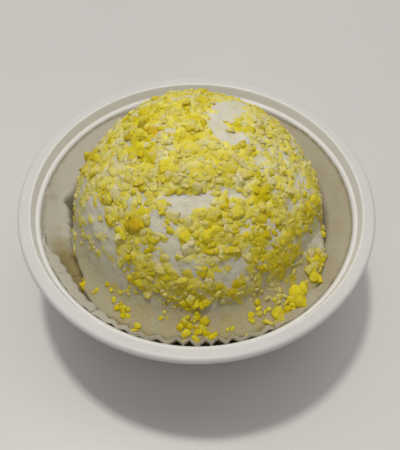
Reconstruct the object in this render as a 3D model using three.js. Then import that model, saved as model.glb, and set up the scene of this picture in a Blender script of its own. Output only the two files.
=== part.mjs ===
/**
 * A cup of semifreddo: a domed frozen dessert in a pleated paper case, standing in a round tapered
 * plastic cup with a broad rolled flange.
 *
 * Units are millimetres. +Z is up, the cup stands on Z = 0, its axis is the Z axis and its front is -Y.
 */
import * as THREE from "three";

// Cup: foot, tapered wall, a shelf below the rim, then a steep step up to the flange.
const CUP_HEIGHT = 45;
const RIM_RADIUS = 58.5;
const FLANGE_WIDTH = 4.35;
const LIP_DROP = 2.3;
const LIP_ROUNDING = 1.2;
const FLANGE_EDGE_ROUNDING = 0.75;
const STEP_LEAN = 0.6;
const SHELF_DEPTH = 4.2;
const SHELF_WIDTH = 1.1;
const CUP_WALL = 0.9;
const WALL_TOP_RADIUS = 52.1;
const WALL_FOOT_RADIUS = 36.2;
const FOOT_RECESS = 0.8;
const FOOT_RING_WIDTH = 5;
const FLOOR_THICKNESS = 1;
const CORNER_ROUNDING = 1.4;
const CUP_SEGMENTS = 72;

// Paper case: a zigzag wall that deepens towards its cut edge, pressed into the cup.
const PLEATS = 64;
const PLEAT_DEPTH = 2.5;
const PLEAT_ONSET = 0.7;
const PAPER = 0.4;
const CASE_EDGE_HEIGHT = 38;
const CASE_CORNER_HEIGHT = 4;
const CASE_ROWS = 4;
const CASE_FLOOR_RADIUS = 34;
const GAP = 0.3;

// Where the case stands off the cup's wall: azimuth and half width in degrees, distance at the edge.
const STAND_OFFS = [
  { azimuth: 224, halfWidth: 20, distance: 2.6 },
  { azimuth: 274, halfWidth: 34, distance: 2.4 },
  { azimuth: 322, halfWidth: 14, distance: 1.2 },
];

// Dome: half a ball of cream above, upright sides below it that follow the case down to its floor.
const DOME_RADIUS = 42.4;
const DOME_CENTRE_HEIGHT = 34.5;
const DOME_FOOT_ROUNDING = 3;
const DOME_SEGMENTS = 60;
const DOME_SIDE_ROWS = 8;
const DOME_CAP_ROWS = 14;
const LUMPS_START_HEIGHT = 26;
const LUMPS_FULL_HEIGHT = 36;

// Broad lumps and hollows of the cream: where they lie on the ball, their reach in degrees, their height.
const LUMPS = [
  { azimuth: 345, elevation: 27, reach: 15, height: 1.0 },
  { azimuth: 330, elevation: 16, reach: 9, height: -1.1 },
  { azimuth: 245, elevation: 62, reach: 20, height: 0.7 },
  { azimuth: 285, elevation: 60, reach: 12, height: -0.8 },
  { azimuth: 215, elevation: 22, reach: 16, height: -0.7 },
  { azimuth: 272, elevation: 35, reach: 18, height: 0.6 },
  { azimuth: 100, elevation: 50, reach: 22, height: 0.6 },
  { azimuth: 150, elevation: 30, reach: 16, height: -0.5 },
  { azimuth: 40, elevation: 76, reach: 9, height: -0.7 },
];

const FLOOR_HEIGHT = FOOT_RECESS + FLOOR_THICKNESS;
const SHELF_HEIGHT = CUP_HEIGHT - SHELF_DEPTH;
const CASE_BOTTOM = FLOOR_HEIGHT + GAP;
const CASE_FLOOR_TOP = CASE_BOTTOM + PAPER;
const DOME_BOTTOM = CASE_FLOOR_TOP + GAP;

/** Inner radius of the cup's tapered wall at a height. */
function wallRadius(height) {
  const rise = (height - FLOOR_HEIGHT) / (SHELF_HEIGHT - FLOOR_HEIGHT);
  return THREE.MathUtils.lerp(WALL_FOOT_RADIUS, WALL_TOP_RADIUS, rise);
}

/** Share of the way up the case's folded wall at a height, from 0 at its corner to 1 at its cut edge. */
function caseRise(height) {
  return THREE.MathUtils.clamp(THREE.MathUtils.inverseLerp(CASE_CORNER_HEIGHT, CASE_EDGE_HEIGHT, height), 0, 1);
}

/** How deep the pleats are, crest to valley, at a height. */
function pleatDepth(height) {
  return PLEAT_DEPTH * caseRise(height) ** PLEAT_ONSET;
}

/** Smallest angle between two azimuths, in degrees. */
function azimuthBetween(first, second) {
  return Math.abs(THREE.MathUtils.euclideanModulo(first - second + 180, 360) - 180);
}

/** How far the case stands off the wall at an azimuth and a height. */
function standOff(azimuth, height) {
  let distance = 0;
  for (const place of STAND_OFFS) {
    const across = azimuthBetween(azimuth, place.azimuth) / place.halfWidth;
    distance += place.distance * Math.max(0, 1 - across ** 2) * caseRise(height) ** 2;
  }
  return distance;
}

/** Radius of the innermost fold of the case at a height, at the azimuth where it leans in most. */
function caseInnerRadius(height) {
  const leanest = Math.max(...STAND_OFFS.map((place) => standOff(place.azimuth, height)));
  return wallRadius(height) - GAP - pleatDepth(height) - PAPER - leanest;
}

/** Points along an arc, angles in degrees counted from the direction away from the axis. */
function arc(centreRadius, centreHeight, radius, start, end, steps) {
  const points = [];
  for (let step = 0; step <= steps; step += 1) {
    const angle = THREE.MathUtils.degToRad(THREE.MathUtils.lerp(start, end, step / steps));
    points.push(
      new THREE.Vector2(centreRadius + radius * Math.cos(angle), centreHeight + radius * Math.sin(angle)),
    );
  }
  return points;
}

/** A closed body of revolution about the Z axis, from a profile of radius and height. */
function turned(profile, segments) {
  const geometry = new THREE.LatheGeometry(profile, segments);
  geometry.rotateX(Math.PI / 2);
  return geometry;
}

/** Moves every vertex of a turned body along its own radius, to the radius that a rule gives. */
function reshapeRadius(geometry, rule) {
  const position = geometry.attributes.position;
  for (let index = 0; index < position.count; index += 1) {
    const x = position.getX(index);
    const y = position.getY(index);
    const radius = Math.hypot(x, y);
    const angle = Math.atan2(y, x);
    const moved = rule(radius, angle, position.getZ(index));
    position.setX(index, moved * Math.cos(angle));
    position.setY(index, moved * Math.sin(angle));
  }
  geometry.computeVertexNormals();
  return geometry;
}

function cupGeometry() {
  const taper = Math.atan2(WALL_TOP_RADIUS - WALL_FOOT_RADIUS, SHELF_HEIGHT - FLOOR_HEIGHT);
  const wallAcross = CUP_WALL / Math.cos(taper);
  const outerRadius = (height) => wallRadius(height) + wallAcross;
  const taperDegrees = THREE.MathUtils.radToDeg(taper);
  const footRadius = outerRadius(0) - CORNER_ROUNDING * Math.tan((Math.PI / 2 - taper) / 2);
  const recessRadius = outerRadius(0) - FOOT_RING_WIDTH;
  const flangeInnerRadius = RIM_RADIUS - FLANGE_WIDTH;
  const stepFootRadius = flangeInnerRadius - STEP_LEAN;
  const flangeUnderside = CUP_HEIGHT - CUP_WALL;
  const lipBottom = CUP_HEIGHT - LIP_DROP;
  const shelfUnderside = SHELF_HEIGHT - CUP_WALL;
  const profile = [
    new THREE.Vector2(0, FOOT_RECESS),
    new THREE.Vector2(recessRadius - FOOT_RECESS, FOOT_RECESS),
    new THREE.Vector2(recessRadius, 0),
    ...arc(footRadius, CORNER_ROUNDING, CORNER_ROUNDING, -90, -taperDegrees, 3),
    new THREE.Vector2(outerRadius(shelfUnderside), shelfUnderside),
    new THREE.Vector2(stepFootRadius + CUP_WALL, shelfUnderside + STEP_LEAN / 2),
    new THREE.Vector2(flangeInnerRadius + CUP_WALL, flangeUnderside),
    new THREE.Vector2(RIM_RADIUS - CUP_WALL, flangeUnderside),
    new THREE.Vector2(RIM_RADIUS - CUP_WALL, lipBottom),
    new THREE.Vector2(RIM_RADIUS, lipBottom),
    ...arc(RIM_RADIUS - LIP_ROUNDING, CUP_HEIGHT - LIP_ROUNDING, LIP_ROUNDING, 0, 90, 4),
    ...arc(
      flangeInnerRadius + FLANGE_EDGE_ROUNDING,
      CUP_HEIGHT - FLANGE_EDGE_ROUNDING,
      FLANGE_EDGE_ROUNDING,
      90,
      180,
      3,
    ),
    new THREE.Vector2(stepFootRadius, SHELF_HEIGHT + STEP_LEAN / 2),
    new THREE.Vector2(stepFootRadius - SHELF_WIDTH, SHELF_HEIGHT),
    new THREE.Vector2(wallRadius(SHELF_HEIGHT - STEP_LEAN), SHELF_HEIGHT - STEP_LEAN),
    new THREE.Vector2(wallRadius(FLOOR_HEIGHT + CORNER_ROUNDING), FLOOR_HEIGHT + CORNER_ROUNDING),
    new THREE.Vector2(wallRadius(FLOOR_HEIGHT) - CORNER_ROUNDING, FLOOR_HEIGHT),
    new THREE.Vector2(0, FLOOR_HEIGHT),
  ];
  return turned(profile, CUP_SEGMENTS);
}

function caseGeometry() {
  const rowHeights = [];
  for (let row = 0; row <= CASE_ROWS; row += 1) {
    rowHeights.push(THREE.MathUtils.lerp(CASE_CORNER_HEIGHT, CASE_EDGE_HEIGHT, row / CASE_ROWS));
  }
  // The middle of the folded wall, before its zigzag is laid over it.
  const middle = (height) => wallRadius(height) - GAP - pleatDepth(height) / 2 - PAPER / 2;
  const outer = rowHeights.map((height) => new THREE.Vector2(middle(height) + PAPER / 2, height));
  const inner = rowHeights.map((height) => new THREE.Vector2(middle(height) - PAPER / 2, height));
  const profile = [
    new THREE.Vector2(0, CASE_BOTTOM),
    new THREE.Vector2(CASE_FLOOR_RADIUS, CASE_BOTTOM),
    ...outer,
    ...inner.reverse(),
    new THREE.Vector2(CASE_FLOOR_RADIUS - PAPER, CASE_FLOOR_TOP),
    new THREE.Vector2(0, CASE_FLOOR_TOP),
  ];
  const fold = (radius, angle, height) => {
    const azimuth = THREE.MathUtils.radToDeg(angle);
    const zigzag = (Math.cos(PLEATS * angle) * pleatDepth(height)) / 2;
    return radius + zigzag - standOff(azimuth, height);
  };
  return reshapeRadius(turned(profile, 2 * PLEATS), fold);
}

/** Height of the lumps at a point of the cream, faded out where the case holds it. */
function lumpHeight(angle, radius, height) {
  const rise = height - DOME_CENTRE_HEIGHT;
  const direction = new THREE.Vector3(radius * Math.cos(angle), radius * Math.sin(angle), rise).normalize();
  let total = 0;
  for (const lump of LUMPS) {
    const azimuth = THREE.MathUtils.degToRad(lump.azimuth);
    const elevation = THREE.MathUtils.degToRad(lump.elevation);
    const centre = new THREE.Vector3(
      Math.cos(elevation) * Math.cos(azimuth),
      Math.cos(elevation) * Math.sin(azimuth),
      Math.sin(elevation),
    );
    const away = THREE.MathUtils.radToDeg(direction.angleTo(centre));
    total += lump.height * Math.exp(-((away / lump.reach) ** 2));
  }
  return total * THREE.MathUtils.smoothstep(height, LUMPS_START_HEIGHT, LUMPS_FULL_HEIGHT);
}

function domeGeometry() {
  const side = [];
  for (let row = 0; row < DOME_SIDE_ROWS; row += 1) {
    const rise = row / DOME_SIDE_ROWS;
    const height = THREE.MathUtils.lerp(DOME_BOTTOM + DOME_FOOT_ROUNDING, DOME_CENTRE_HEIGHT, rise);
    side.push(new THREE.Vector2(Math.min(DOME_RADIUS, caseInnerRadius(height) - GAP), height));
  }
  const profile = [
    new THREE.Vector2(0, DOME_BOTTOM),
    new THREE.Vector2(side[0].x - DOME_FOOT_ROUNDING, DOME_BOTTOM),
    ...side,
    ...arc(0, DOME_CENTRE_HEIGHT, DOME_RADIUS, 0, 90, DOME_CAP_ROWS).slice(0, -1),
    new THREE.Vector2(0, DOME_CENTRE_HEIGHT + DOME_RADIUS),
  ];
  const geometry = turned(profile, DOME_SEGMENTS);
  const position = geometry.attributes.position;
  const point = new THREE.Vector3();
  const outward = new THREE.Vector3();
  for (let index = 0; index < position.count; index += 1) {
    point.fromBufferAttribute(position, index);
    const radius = Math.hypot(point.x, point.y);
    const height = lumpHeight(Math.atan2(point.y, point.x), radius, point.z);
    outward.set(point.x, point.y, point.z - DOME_CENTRE_HEIGHT).normalize();
    point.addScaledVector(outward, height);
    position.setXYZ(index, point.x, point.y, point.z);
  }
  geometry.computeVertexNormals();
  return geometry;
}

function namedMesh(name, geometry, colour, roughness) {
  const material = new THREE.MeshStandardMaterial({ color: colour, roughness, metalness: 0 });
  const mesh = new THREE.Mesh(geometry, material);
  mesh.name = name;
  return mesh;
}

const cupOfSemifreddo = new THREE.Group();
cupOfSemifreddo.name = "cup_of_semifreddo";
cupOfSemifreddo.add(namedMesh("cup", cupGeometry(), 0xeeece6, 0.35));
cupOfSemifreddo.add(namedMesh("paper_case", caseGeometry(), 0xe9e3c8, 0.6));
cupOfSemifreddo.add(namedMesh("semifreddo", domeGeometry(), 0xf5efd2, 0.55));

export default cupOfSemifreddo;
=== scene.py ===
"""Looks of a cup of semifreddo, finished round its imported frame.

A dome of frozen cream under yellow sponge crumbs stands in a pleated paper case, in a white plastic cup.
Sizes are in millimetres until a mesh is finished; +Z is up, the front is -Y and the cup's axis is Z.
"""

import logging
import math
import random
from dataclasses import dataclass, field, fields, replace
from enum import Enum
from functools import cached_property
from itertools import product

import bmesh
import bpy
import numpy as np
from mathutils import Matrix, Vector, noise


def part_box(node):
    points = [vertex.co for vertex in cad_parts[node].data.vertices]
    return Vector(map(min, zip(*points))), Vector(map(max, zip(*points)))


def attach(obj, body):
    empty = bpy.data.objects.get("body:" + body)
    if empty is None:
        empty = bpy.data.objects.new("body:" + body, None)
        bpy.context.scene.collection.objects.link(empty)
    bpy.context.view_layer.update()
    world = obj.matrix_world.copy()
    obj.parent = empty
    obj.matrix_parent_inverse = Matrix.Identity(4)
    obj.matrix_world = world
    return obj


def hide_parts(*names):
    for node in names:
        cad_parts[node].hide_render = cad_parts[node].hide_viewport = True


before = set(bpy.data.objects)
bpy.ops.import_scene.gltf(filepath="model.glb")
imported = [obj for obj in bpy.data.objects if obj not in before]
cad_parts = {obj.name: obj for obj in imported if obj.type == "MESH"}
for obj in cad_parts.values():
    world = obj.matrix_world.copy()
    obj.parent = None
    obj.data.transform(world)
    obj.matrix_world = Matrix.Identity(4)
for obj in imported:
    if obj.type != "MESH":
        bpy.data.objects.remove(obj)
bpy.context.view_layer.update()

MM = 0.001
BODY = "root"
LOG = logging.getLogger("semifreddo")

Colour = tuple[float, float, float]
Outline = list[tuple[float, float]]
Socket = bpy.types.NodeSocket


class Slot(Enum):
    """The record's material slots."""

    CUP = "cup_plastic"
    CASE = "case_paper"
    CREAM = "cream"
    CRUMBS = "crumbs"


class Layer(Enum):
    """Names of the values that are stored on a piece's points and read by its finish."""

    SPRINKLED = "sprinkled"
    # Painted light and a stain: painted glow on the cup's step, painted shade low on the cream and crumbs,
    # and on the paper a stain of fat with painted shade and bounced light.
    PAINTED_LIGHT_AND_GREASE = "painted_light_and_grease"
    TONE = "tone"
    # Share of a crumb or crust cell that faces up: painted top light and shade, and cream smeared on crumb
    # tops.
    TOP_LIGHT_AND_SMEAR = "top_light_and_smear"
    RICH = "rich"
    STAINED = "stained"


class Blending(Enum):
    """How one colour acts on another in a finish."""

    COVER = "MIX"
    SOAK = "MULTIPLY"


# ---------------------------------------------------------------- small sums


def mix(first: float, second: float, share: float) -> float:
    """Value a share of the way from first to second."""
    return first + (second - first) * share


def clamp(value: float) -> float:
    """Value kept between 0 and 1."""
    return min(1.0, max(0.0, value))


def smooth_step(value: float, start: float, end: float) -> float:
    """Rises smoothly from 0 at start to 1 at end, and falls where end lies below start."""
    share = clamp((value - start) / (end - start))
    return share * share * (3 - 2 * share)


def heading(azimuth: float, elevation: float) -> Vector:
    """Direction as a vector.

    Args:
        azimuth: Angle round the axis, in degrees.
        elevation: Angle above the horizontal, in degrees.

    Returns:
        The unit vector.
    """
    turn = math.radians(azimuth)
    rise = math.radians(elevation)
    return Vector((math.cos(rise) * math.cos(turn), math.cos(rise) * math.sin(turn), math.sin(rise)))


def bearing(spot: Vector) -> tuple[float, float]:
    """Azimuth and elevation of a spot of the unit ball, in degrees."""
    return math.degrees(math.atan2(spot.y, spot.x)), math.degrees(math.asin(max(-1.0, min(1.0, spot.z))))


def polar(radius: float, azimuth: float, height: float) -> Vector:
    """Point at a radius, an azimuth in degrees and a height."""
    turn = math.radians(azimuth)
    return Vector((radius * math.cos(turn), radius * math.sin(turn), height))


@dataclass(frozen=True)
class Fade:
    """A smooth change from 0 at the start to 1 at the end, whichever of them lies higher."""

    start: float
    end: float

    def at(self, value: float) -> float:
        """Share that is reached at a value."""
        return smooth_step(value, self.start, self.end)


@dataclass(frozen=True)
class Ripple:
    """Finer and finer noise, added up.

    Attributes:
        depth: Strength of the coarsest layer.
        waves: Waves for each unit of length in the coarsest layer.
        layers: Number of layers, each twice as fine and half as strong as the one before.
        seed: Shift that gives another pattern.
    """

    depth: float
    waves: float
    layers: int
    seed: float = 0.0

    def at(self, point: Vector) -> float:
        """Value at a point.

        Args:
            point: Where it is read.

        Returns:
            A value that is mostly between minus and plus the depth.
        """
        shift = Vector((self.seed, self.seed * 0.7, self.seed * 1.3))
        total = 0.0
        for layer in range(self.layers):
            total += noise.noise(point * self.waves * 2**layer + shift) / 2**layer
        return self.depth * total


# ---------------------------------------------------------------- shaders


def opaque(colour: Colour) -> tuple[float, float, float, float]:
    """Colour with a full alpha."""
    return (*colour, 1.0)


class ShaderGraph:
    """Node tree of one material, built from its Principled shader outwards."""

    def __init__(self, name: str) -> None:
        """Starts a material.

        Args:
            name: Name of the material.
        """
        self.material = bpy.data.materials.new(name)
        self.material.use_nodes = True
        self.tree = self.material.node_tree
        self.shader = self.tree.nodes["Principled BSDF"]
        self.output = self.tree.nodes["Material Output"]
        self.place = self.node("ShaderNodeTexCoord").outputs["Object"]

    def node(self, kind: str, **settings: object) -> bpy.types.Node:
        """Adds a node.

        Args:
            kind: Type of the node.
            **settings: Properties to set on it.

        Returns:
            The node.
        """
        made = self.tree.nodes.new(kind)
        for key, value in settings.items():
            setattr(made, key, value)
        return made

    def link(self, source: Socket, target: Socket) -> None:
        """Joins two sockets."""
        self.tree.links.new(source, target)

    def drive(self, name: str, source: Socket) -> None:
        """Joins a socket to the shader's socket of that name."""
        self.link(source, self.shader.inputs[name])

    def set(self, **values: object) -> None:
        """Sets the shader's own sockets, with underscores for the spaces in their names."""
        for key, value in values.items():
            self.shader.inputs[key.replace("_", " ")].default_value = value

    def scatter(self, weight: float, reach: Colour, depth: float) -> None:
        """Sets how much light spreads under the surface, each colour's reach and the depth in millimetres."""
        self.set(Subsurface_Weight=weight, Subsurface_Radius=reach, Subsurface_Scale=depth * MM)

    def noise(self, waves: float, detail: float = 3.0, roughness: float = 0.55) -> Socket:
        """Noise over object coordinates.

        Args:
            waves: Waves for each metre.
            detail: Number of finer layers.
            roughness: Strength of each finer layer.

        Returns:
            The factor socket, about 0.3 to 0.7.
        """
        made = self.node("ShaderNodeTexNoise")
        made.inputs["Scale"].default_value = waves
        made.inputs["Detail"].default_value = detail
        made.inputs["Roughness"].default_value = roughness
        self.link(self.place, made.inputs["Vector"])
        return made.outputs["Fac"]

    def layer(self, name: Layer) -> Socket:
        """Value stored on the piece's points under a name."""
        return self.node("ShaderNodeAttribute", attribute_name=name.value).outputs["Fac"]

    def ramp(self, source: Socket, stops: dict[float, Colour]) -> Socket:
        """Colour that follows a value.

        Args:
            source: The value, from 0 to 1.
            stops: Colour for each of a few values.

        Returns:
            The colour socket.
        """
        made = self.node("ShaderNodeValToRGB")
        elements = made.color_ramp.elements
        while len(elements) < len(stops):
            elements.new(0.5)
        for element, (position, colour) in zip(elements, sorted(stops.items())):
            element.position = position
            element.color = opaque(colour)
        self.link(source, made.inputs["Fac"])
        return made.outputs["Color"]

    def span(self, source: Socket, start: float, end: float, low: float = 0.0, high: float = 1.0) -> Socket:
        """Value that follows another one in a straight line, and stops at both ends.

        Args:
            source: The value that it follows.
            start: Source where the line starts.
            end: Source where it ends.
            low: Result up to the start.
            high: Result from the end on.

        Returns:
            The value socket.
        """
        made = self.node("ShaderNodeMapRange")
        for socket, value in zip(("From Min", "From Max", "To Min", "To Max"), (start, end, low, high)):
            made.inputs[socket].default_value = value
        self.link(source, made.inputs["Value"])
        return made.outputs["Result"]

    def blend(self, share: Socket, first: Socket, second: Socket | Colour, how: Blending) -> Socket:
        """Colour made of two.

        Args:
            share: How much of the second is used, from 0 to 1.
            first: Colour socket.
            second: Colour socket, or a colour that is the same all over.
            how: How the second acts on the first.

        Returns:
            The colour socket.
        """
        made = self.node("ShaderNodeMix", data_type="RGBA", blend_type=how.value)
        self.link(share, made.inputs["Factor"])
        self.link(first, made.inputs["A"])
        if isinstance(second, tuple):
            made.inputs["B"].default_value = opaque(second)
        else:
            self.link(second, made.inputs["B"])
        return made.outputs["Result"]

    def cover(self, colour: Socket, share: Socket, coat: Socket | Colour) -> Socket:
        """Colour, covered by another one by a share."""
        return self.blend(share, colour, coat, Blending.COVER)

    def darken_with(self, colour: Socket, share: Socket, tint: Colour) -> Socket:
        """Colour, darkened by a tint by a share."""
        return self.blend(share, colour, tint, Blending.SOAK)

    def sum(self, first: Socket, second: Socket, weight: float) -> Socket:
        """Adds two values.

        Args:
            first: Value that is used as it is.
            second: Value that is added to it.
            weight: How much of the second is added.

        Returns:
            The value socket.
        """
        made = self.node("ShaderNodeMath", operation="MULTIPLY_ADD")
        self.link(second, made.inputs[0])
        made.inputs[1].default_value = weight
        self.link(first, made.inputs[2])
        return made.outputs["Value"]

    def bump(self, height: Socket, depth: float) -> None:
        """Roughens the surface.

        Args:
            height: Value socket of the relief.
            depth: Millimetres for a height of 1.
        """
        made = self.node("ShaderNodeBump")
        made.inputs["Distance"].default_value = depth * MM
        made.inputs["Strength"].default_value = 1.0
        self.link(height, made.inputs["Height"])
        self.drive("Normal", made.outputs["Normal"])


@dataclass(frozen=True)
class CupPlastic:
    """White moulded plastic, satin, with faint flow marks, a few handling scuffs and a painted glow on the
    step below the flange.
    """

    white: Colour = (0.625, 0.615, 0.59)
    milky: Colour = (0.66, 0.65, 0.625)
    # Painted glow: paler colour for the step below the flange, standing in for light that comes through the
    # plastic.
    thin: Colour = (0.90, 0.89, 0.865)
    flow_waves: float = 34
    scuff_waves: float = 900
    smoothest: float = 0.3
    roughest: float = 0.42
    relief: float = 0.12
    reach: Colour = (1.0, 0.97, 0.9)

    def build(self) -> bpy.types.Material:
        """Makes the material.

        Returns:
            The finished material.
        """
        graph = ShaderGraph("cup plastic")
        flow = graph.noise(self.flow_waves, 4)
        scuffs = graph.noise(self.scuff_waves, 2, 0.7)
        tint = graph.ramp(flow, {0.35: self.white, 0.65: self.milky})
        # The step below the flange is painted paler, a painted glow.
        graph.drive("Base Color", graph.cover(tint, graph.layer(Layer.PAINTED_LIGHT_AND_GREASE), self.thin))
        graph.drive("Roughness", graph.span(scuffs, 0.35, 0.7, self.smoothest, self.roughest))
        graph.bump(graph.sum(flow, scuffs, 0.015), self.relief)
        graph.set(Specular_IOR_Level=0.28, IOR=1.49)
        graph.scatter(0.35, self.reach, 3)
        return graph.material


@dataclass(frozen=True)
class CasePaper:
    """Thin greaseproof paper: fibres, a little light through it, darker and browner low down from a stain of
    fat, from painted shade and from painted bounced light.
    """

    paper: Colour = (0.69, 0.65, 0.53)
    fibre: Colour = (0.76, 0.72, 0.61)
    grease_and_painted_light_colour: Colour = (0.46, 0.36, 0.10)
    light_through: float = 0.42
    fibre_waves: float = 1400
    cloud_waves: float = 120
    relief: float = 0.12

    def build(self) -> bpy.types.Material:
        """Makes the material.

        Returns:
            The finished material.
        """
        graph = ShaderGraph("case paper")
        fibres = graph.noise(self.fibre_waves, 5, 0.7)
        clouds = graph.noise(self.cloud_waves, 3)
        clean = graph.ramp(fibres, {0.36: self.paper, 0.62: self.fibre})
        grease_and_painted_light_share = graph.sum(graph.layer(Layer.PAINTED_LIGHT_AND_GREASE), clouds, 0.6)
        # Painted darker and browner: a stain of fat, painted shade in the hollow and pockets, and a painted
        # yellow cast of bounced light on the right.
        tint = graph.cover(clean, graph.span(grease_and_painted_light_share, 0.55, 1.25, 0.0, 0.85), self.grease_and_painted_light_colour)
        graph.drive("Base Color", tint)
        graph.bump(graph.sum(fibres, clouds, 1.5), self.relief)
        graph.set(Roughness=0.55, IOR=1.45)
        glow = graph.node("ShaderNodeBsdfTranslucent")
        graph.link(tint, glow.inputs["Color"])
        both = graph.node("ShaderNodeMixShader")
        both.inputs["Fac"].default_value = self.light_through
        graph.link(graph.shader.outputs["BSDF"], both.inputs[1])
        graph.link(glow.outputs["BSDF"], both.inputs[2])
        graph.link(both.outputs["Shader"], graph.output.inputs["Surface"])
        return graph.material


@dataclass(frozen=True)
class FrozenCream:
    """Whipped frozen cream, tinted where crumbs lie thick, with tiny pits, a soft sheen, painted shade low in
    the cup and crust tops painted darker than their gaps.
    """

    cream: Colour = (0.69, 0.65, 0.48)
    pale: Colour = (0.73, 0.695, 0.58)
    stain: Colour = (1.0, 0.95, 0.70)
    # Painted shade: the darker colour of cream low in the cup.
    painted_low_shade: Colour = (0.61, 0.575, 0.46)
    yellow: Colour = (0.85, 0.70, 0.02)
    tinted: Colour = (0.91, 0.80, 0.14)
    smeared: Colour = (0.92, 0.85, 0.47)
    # Painted top shade: crust tops darker than the gaps between them, a painted offset of the shade in the
    # gaps.
    painted_top_shade: Colour = (0.84, 0.84, 0.94)
    mottle_waves: float = 210
    grain_waves: float = 900
    smoothest: float = 0.35
    roughest: float = 0.6
    relief: float = 0.3
    reach: Colour = (1.0, 0.85, 0.4)

    def build(self) -> bpy.types.Material:
        """Makes the material.

        Returns:
            The finished material.
        """
        graph = ShaderGraph("frozen cream")
        mottle = graph.noise(self.mottle_waves, 4)
        grain = graph.noise(self.grain_waves, 4, 0.65)
        stained = graph.span(graph.sum(graph.layer(Layer.STAINED), mottle, 0.6), 0.45, 1.2, 0.0, 0.8)
        bare = graph.darken_with(graph.ramp(mottle, {0.35: self.cream, 0.65: self.pale}), stained, self.stain)
        own = graph.sum(graph.sum(graph.layer(Layer.TONE), mottle, 0.8), grain, 0.3)
        tone = graph.span(graph.sum(own, graph.layer(Layer.RICH), 0.7), 0.6, 2.0)
        dyed = graph.ramp(tone, {0.0: self.smeared, 0.45: self.tinted, 1.0: self.yellow})
        # Crust tops painted darker than their gaps, a painted offset of the shade in the gaps.
        dyed = graph.darken_with(dyed, graph.layer(Layer.TOP_LIGHT_AND_SMEAR), self.painted_top_shade)
        share = graph.span(graph.sum(graph.layer(Layer.SPRINKLED), grain, 0.5), 0.5, 1.0)
        # Painted shade low in the cup, where its wall shelters the cream.
        colour = graph.darken_with(graph.cover(bare, share, dyed), graph.layer(Layer.PAINTED_LIGHT_AND_GREASE), self.painted_low_shade)
        graph.drive("Base Color", colour)
        graph.drive("Roughness", graph.span(grain, 0.3, 0.7, self.smoothest, self.roughest))
        graph.bump(graph.sum(grain, mottle, 1.6), self.relief)
        graph.set(Specular_IOR_Level=0.3, IOR=1.4)
        graph.scatter(0.5, self.reach, 1.5)
        return graph.material


@dataclass(frozen=True)
class Bake:
    """Colours of one bake of sponge, from its palest place to its deepest."""

    pale: Colour
    middle: Colour
    deep: Colour


class Sponge(Enum):
    """The bakes of sponge that crumbs are broken from."""

    YELLOW = Bake((0.92, 0.82, 0.29), (0.865, 0.73, 0.045), (0.75, 0.59, 0.005))
    # Brighter bake for the fallen crumbs, partly painted light that offsets the shade low in the cup.
    LEMON = Bake((0.97, 0.89, 0.28), (0.95, 0.83, 0.05), (0.86, 0.70, 0.01))
    AMBER = Bake((0.89, 0.66, 0.05), (0.86, 0.575, 0.01), (0.52, 0.415, 0.02))


@dataclass(frozen=True)
class SpongeCrumb:
    """Broken sponge: open grain, paler or deeper from crumb to crumb, cream smeared on the tops, partly a
    painted highlight, with painted shade on the lower sides and low in the cup.
    """

    name: str
    sponge: Sponge
    # Smeared cream on crumb tops, partly a painted highlight.
    smear_and_highlight: Colour = (0.92, 0.85, 0.52)
    # Painted shade for crumbs low in the cup.
    shade: Colour = (0.88, 0.86, 0.78)
    # Painted top shade: tops darker than the hidden sides, a painted offset of the shade between crumbs.
    painted_top_shade: Colour = (0.82, 0.82, 0.90)
    mottle_waves: float = 210
    smudge_waves: float = 420
    grain_waves: float = 800
    pore_waves: float = 1500
    smoothest: float = 0.5
    roughest: float = 0.8
    relief: float = 0.3
    reach: Colour = (1.0, 0.9, 0.3)

    def build(self) -> bpy.types.Material:
        """Makes the material.

        Returns:
            The finished material.
        """
        graph = ShaderGraph(self.name)
        bake = self.sponge.value
        mottle = graph.noise(self.mottle_waves, 4)
        pores = graph.noise(self.pore_waves, 3, 0.65)
        smudge = graph.noise(self.smudge_waves, 3, 0.6)
        top_light_and_smear = graph.layer(Layer.TOP_LIGHT_AND_SMEAR)
        rich = graph.layer(Layer.RICH)
        own = graph.sum(graph.sum(graph.layer(Layer.TONE), mottle, 0.8), pores, 0.4)
        # Deeper yellow on the lower sides: painted shade.
        tone = graph.span(graph.sum(graph.sum(own, rich, 0.7), top_light_and_smear, -0.5), 0.3, 1.9)
        broken = graph.ramp(tone, {0.0: bake.pale, 0.5: bake.middle, 1.0: bake.deep})
        poor = graph.sum(top_light_and_smear, rich, -0.9)
        # Pale tops: partly smeared cream, partly a painted highlight.
        smeared = graph.span(graph.sum(poor, smudge, 2.2), 0.9, 1.85, 0.0, 0.85)
        colour = graph.cover(broken, smeared, self.smear_and_highlight)
        # Painted shade low in the cup.
        colour = graph.darken_with(colour, graph.layer(Layer.PAINTED_LIGHT_AND_GREASE), self.shade)
        # Painted top shade: tops darker, so the hidden sides read lighter.
        colour = graph.darken_with(colour, graph.span(top_light_and_smear, 0.1, 0.6), self.painted_top_shade)
        graph.drive("Base Color", colour)
        graph.drive("Roughness", graph.span(pores, 0.3, 0.7, self.smoothest, self.roughest))
        graph.bump(graph.sum(pores, graph.noise(self.grain_waves, 4, 0.6), 2.2), self.relief)
        graph.set(Specular_IOR_Level=0.2, IOR=1.4)
        graph.scatter(0.4, self.reach, 0.9)
        return graph.material


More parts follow.
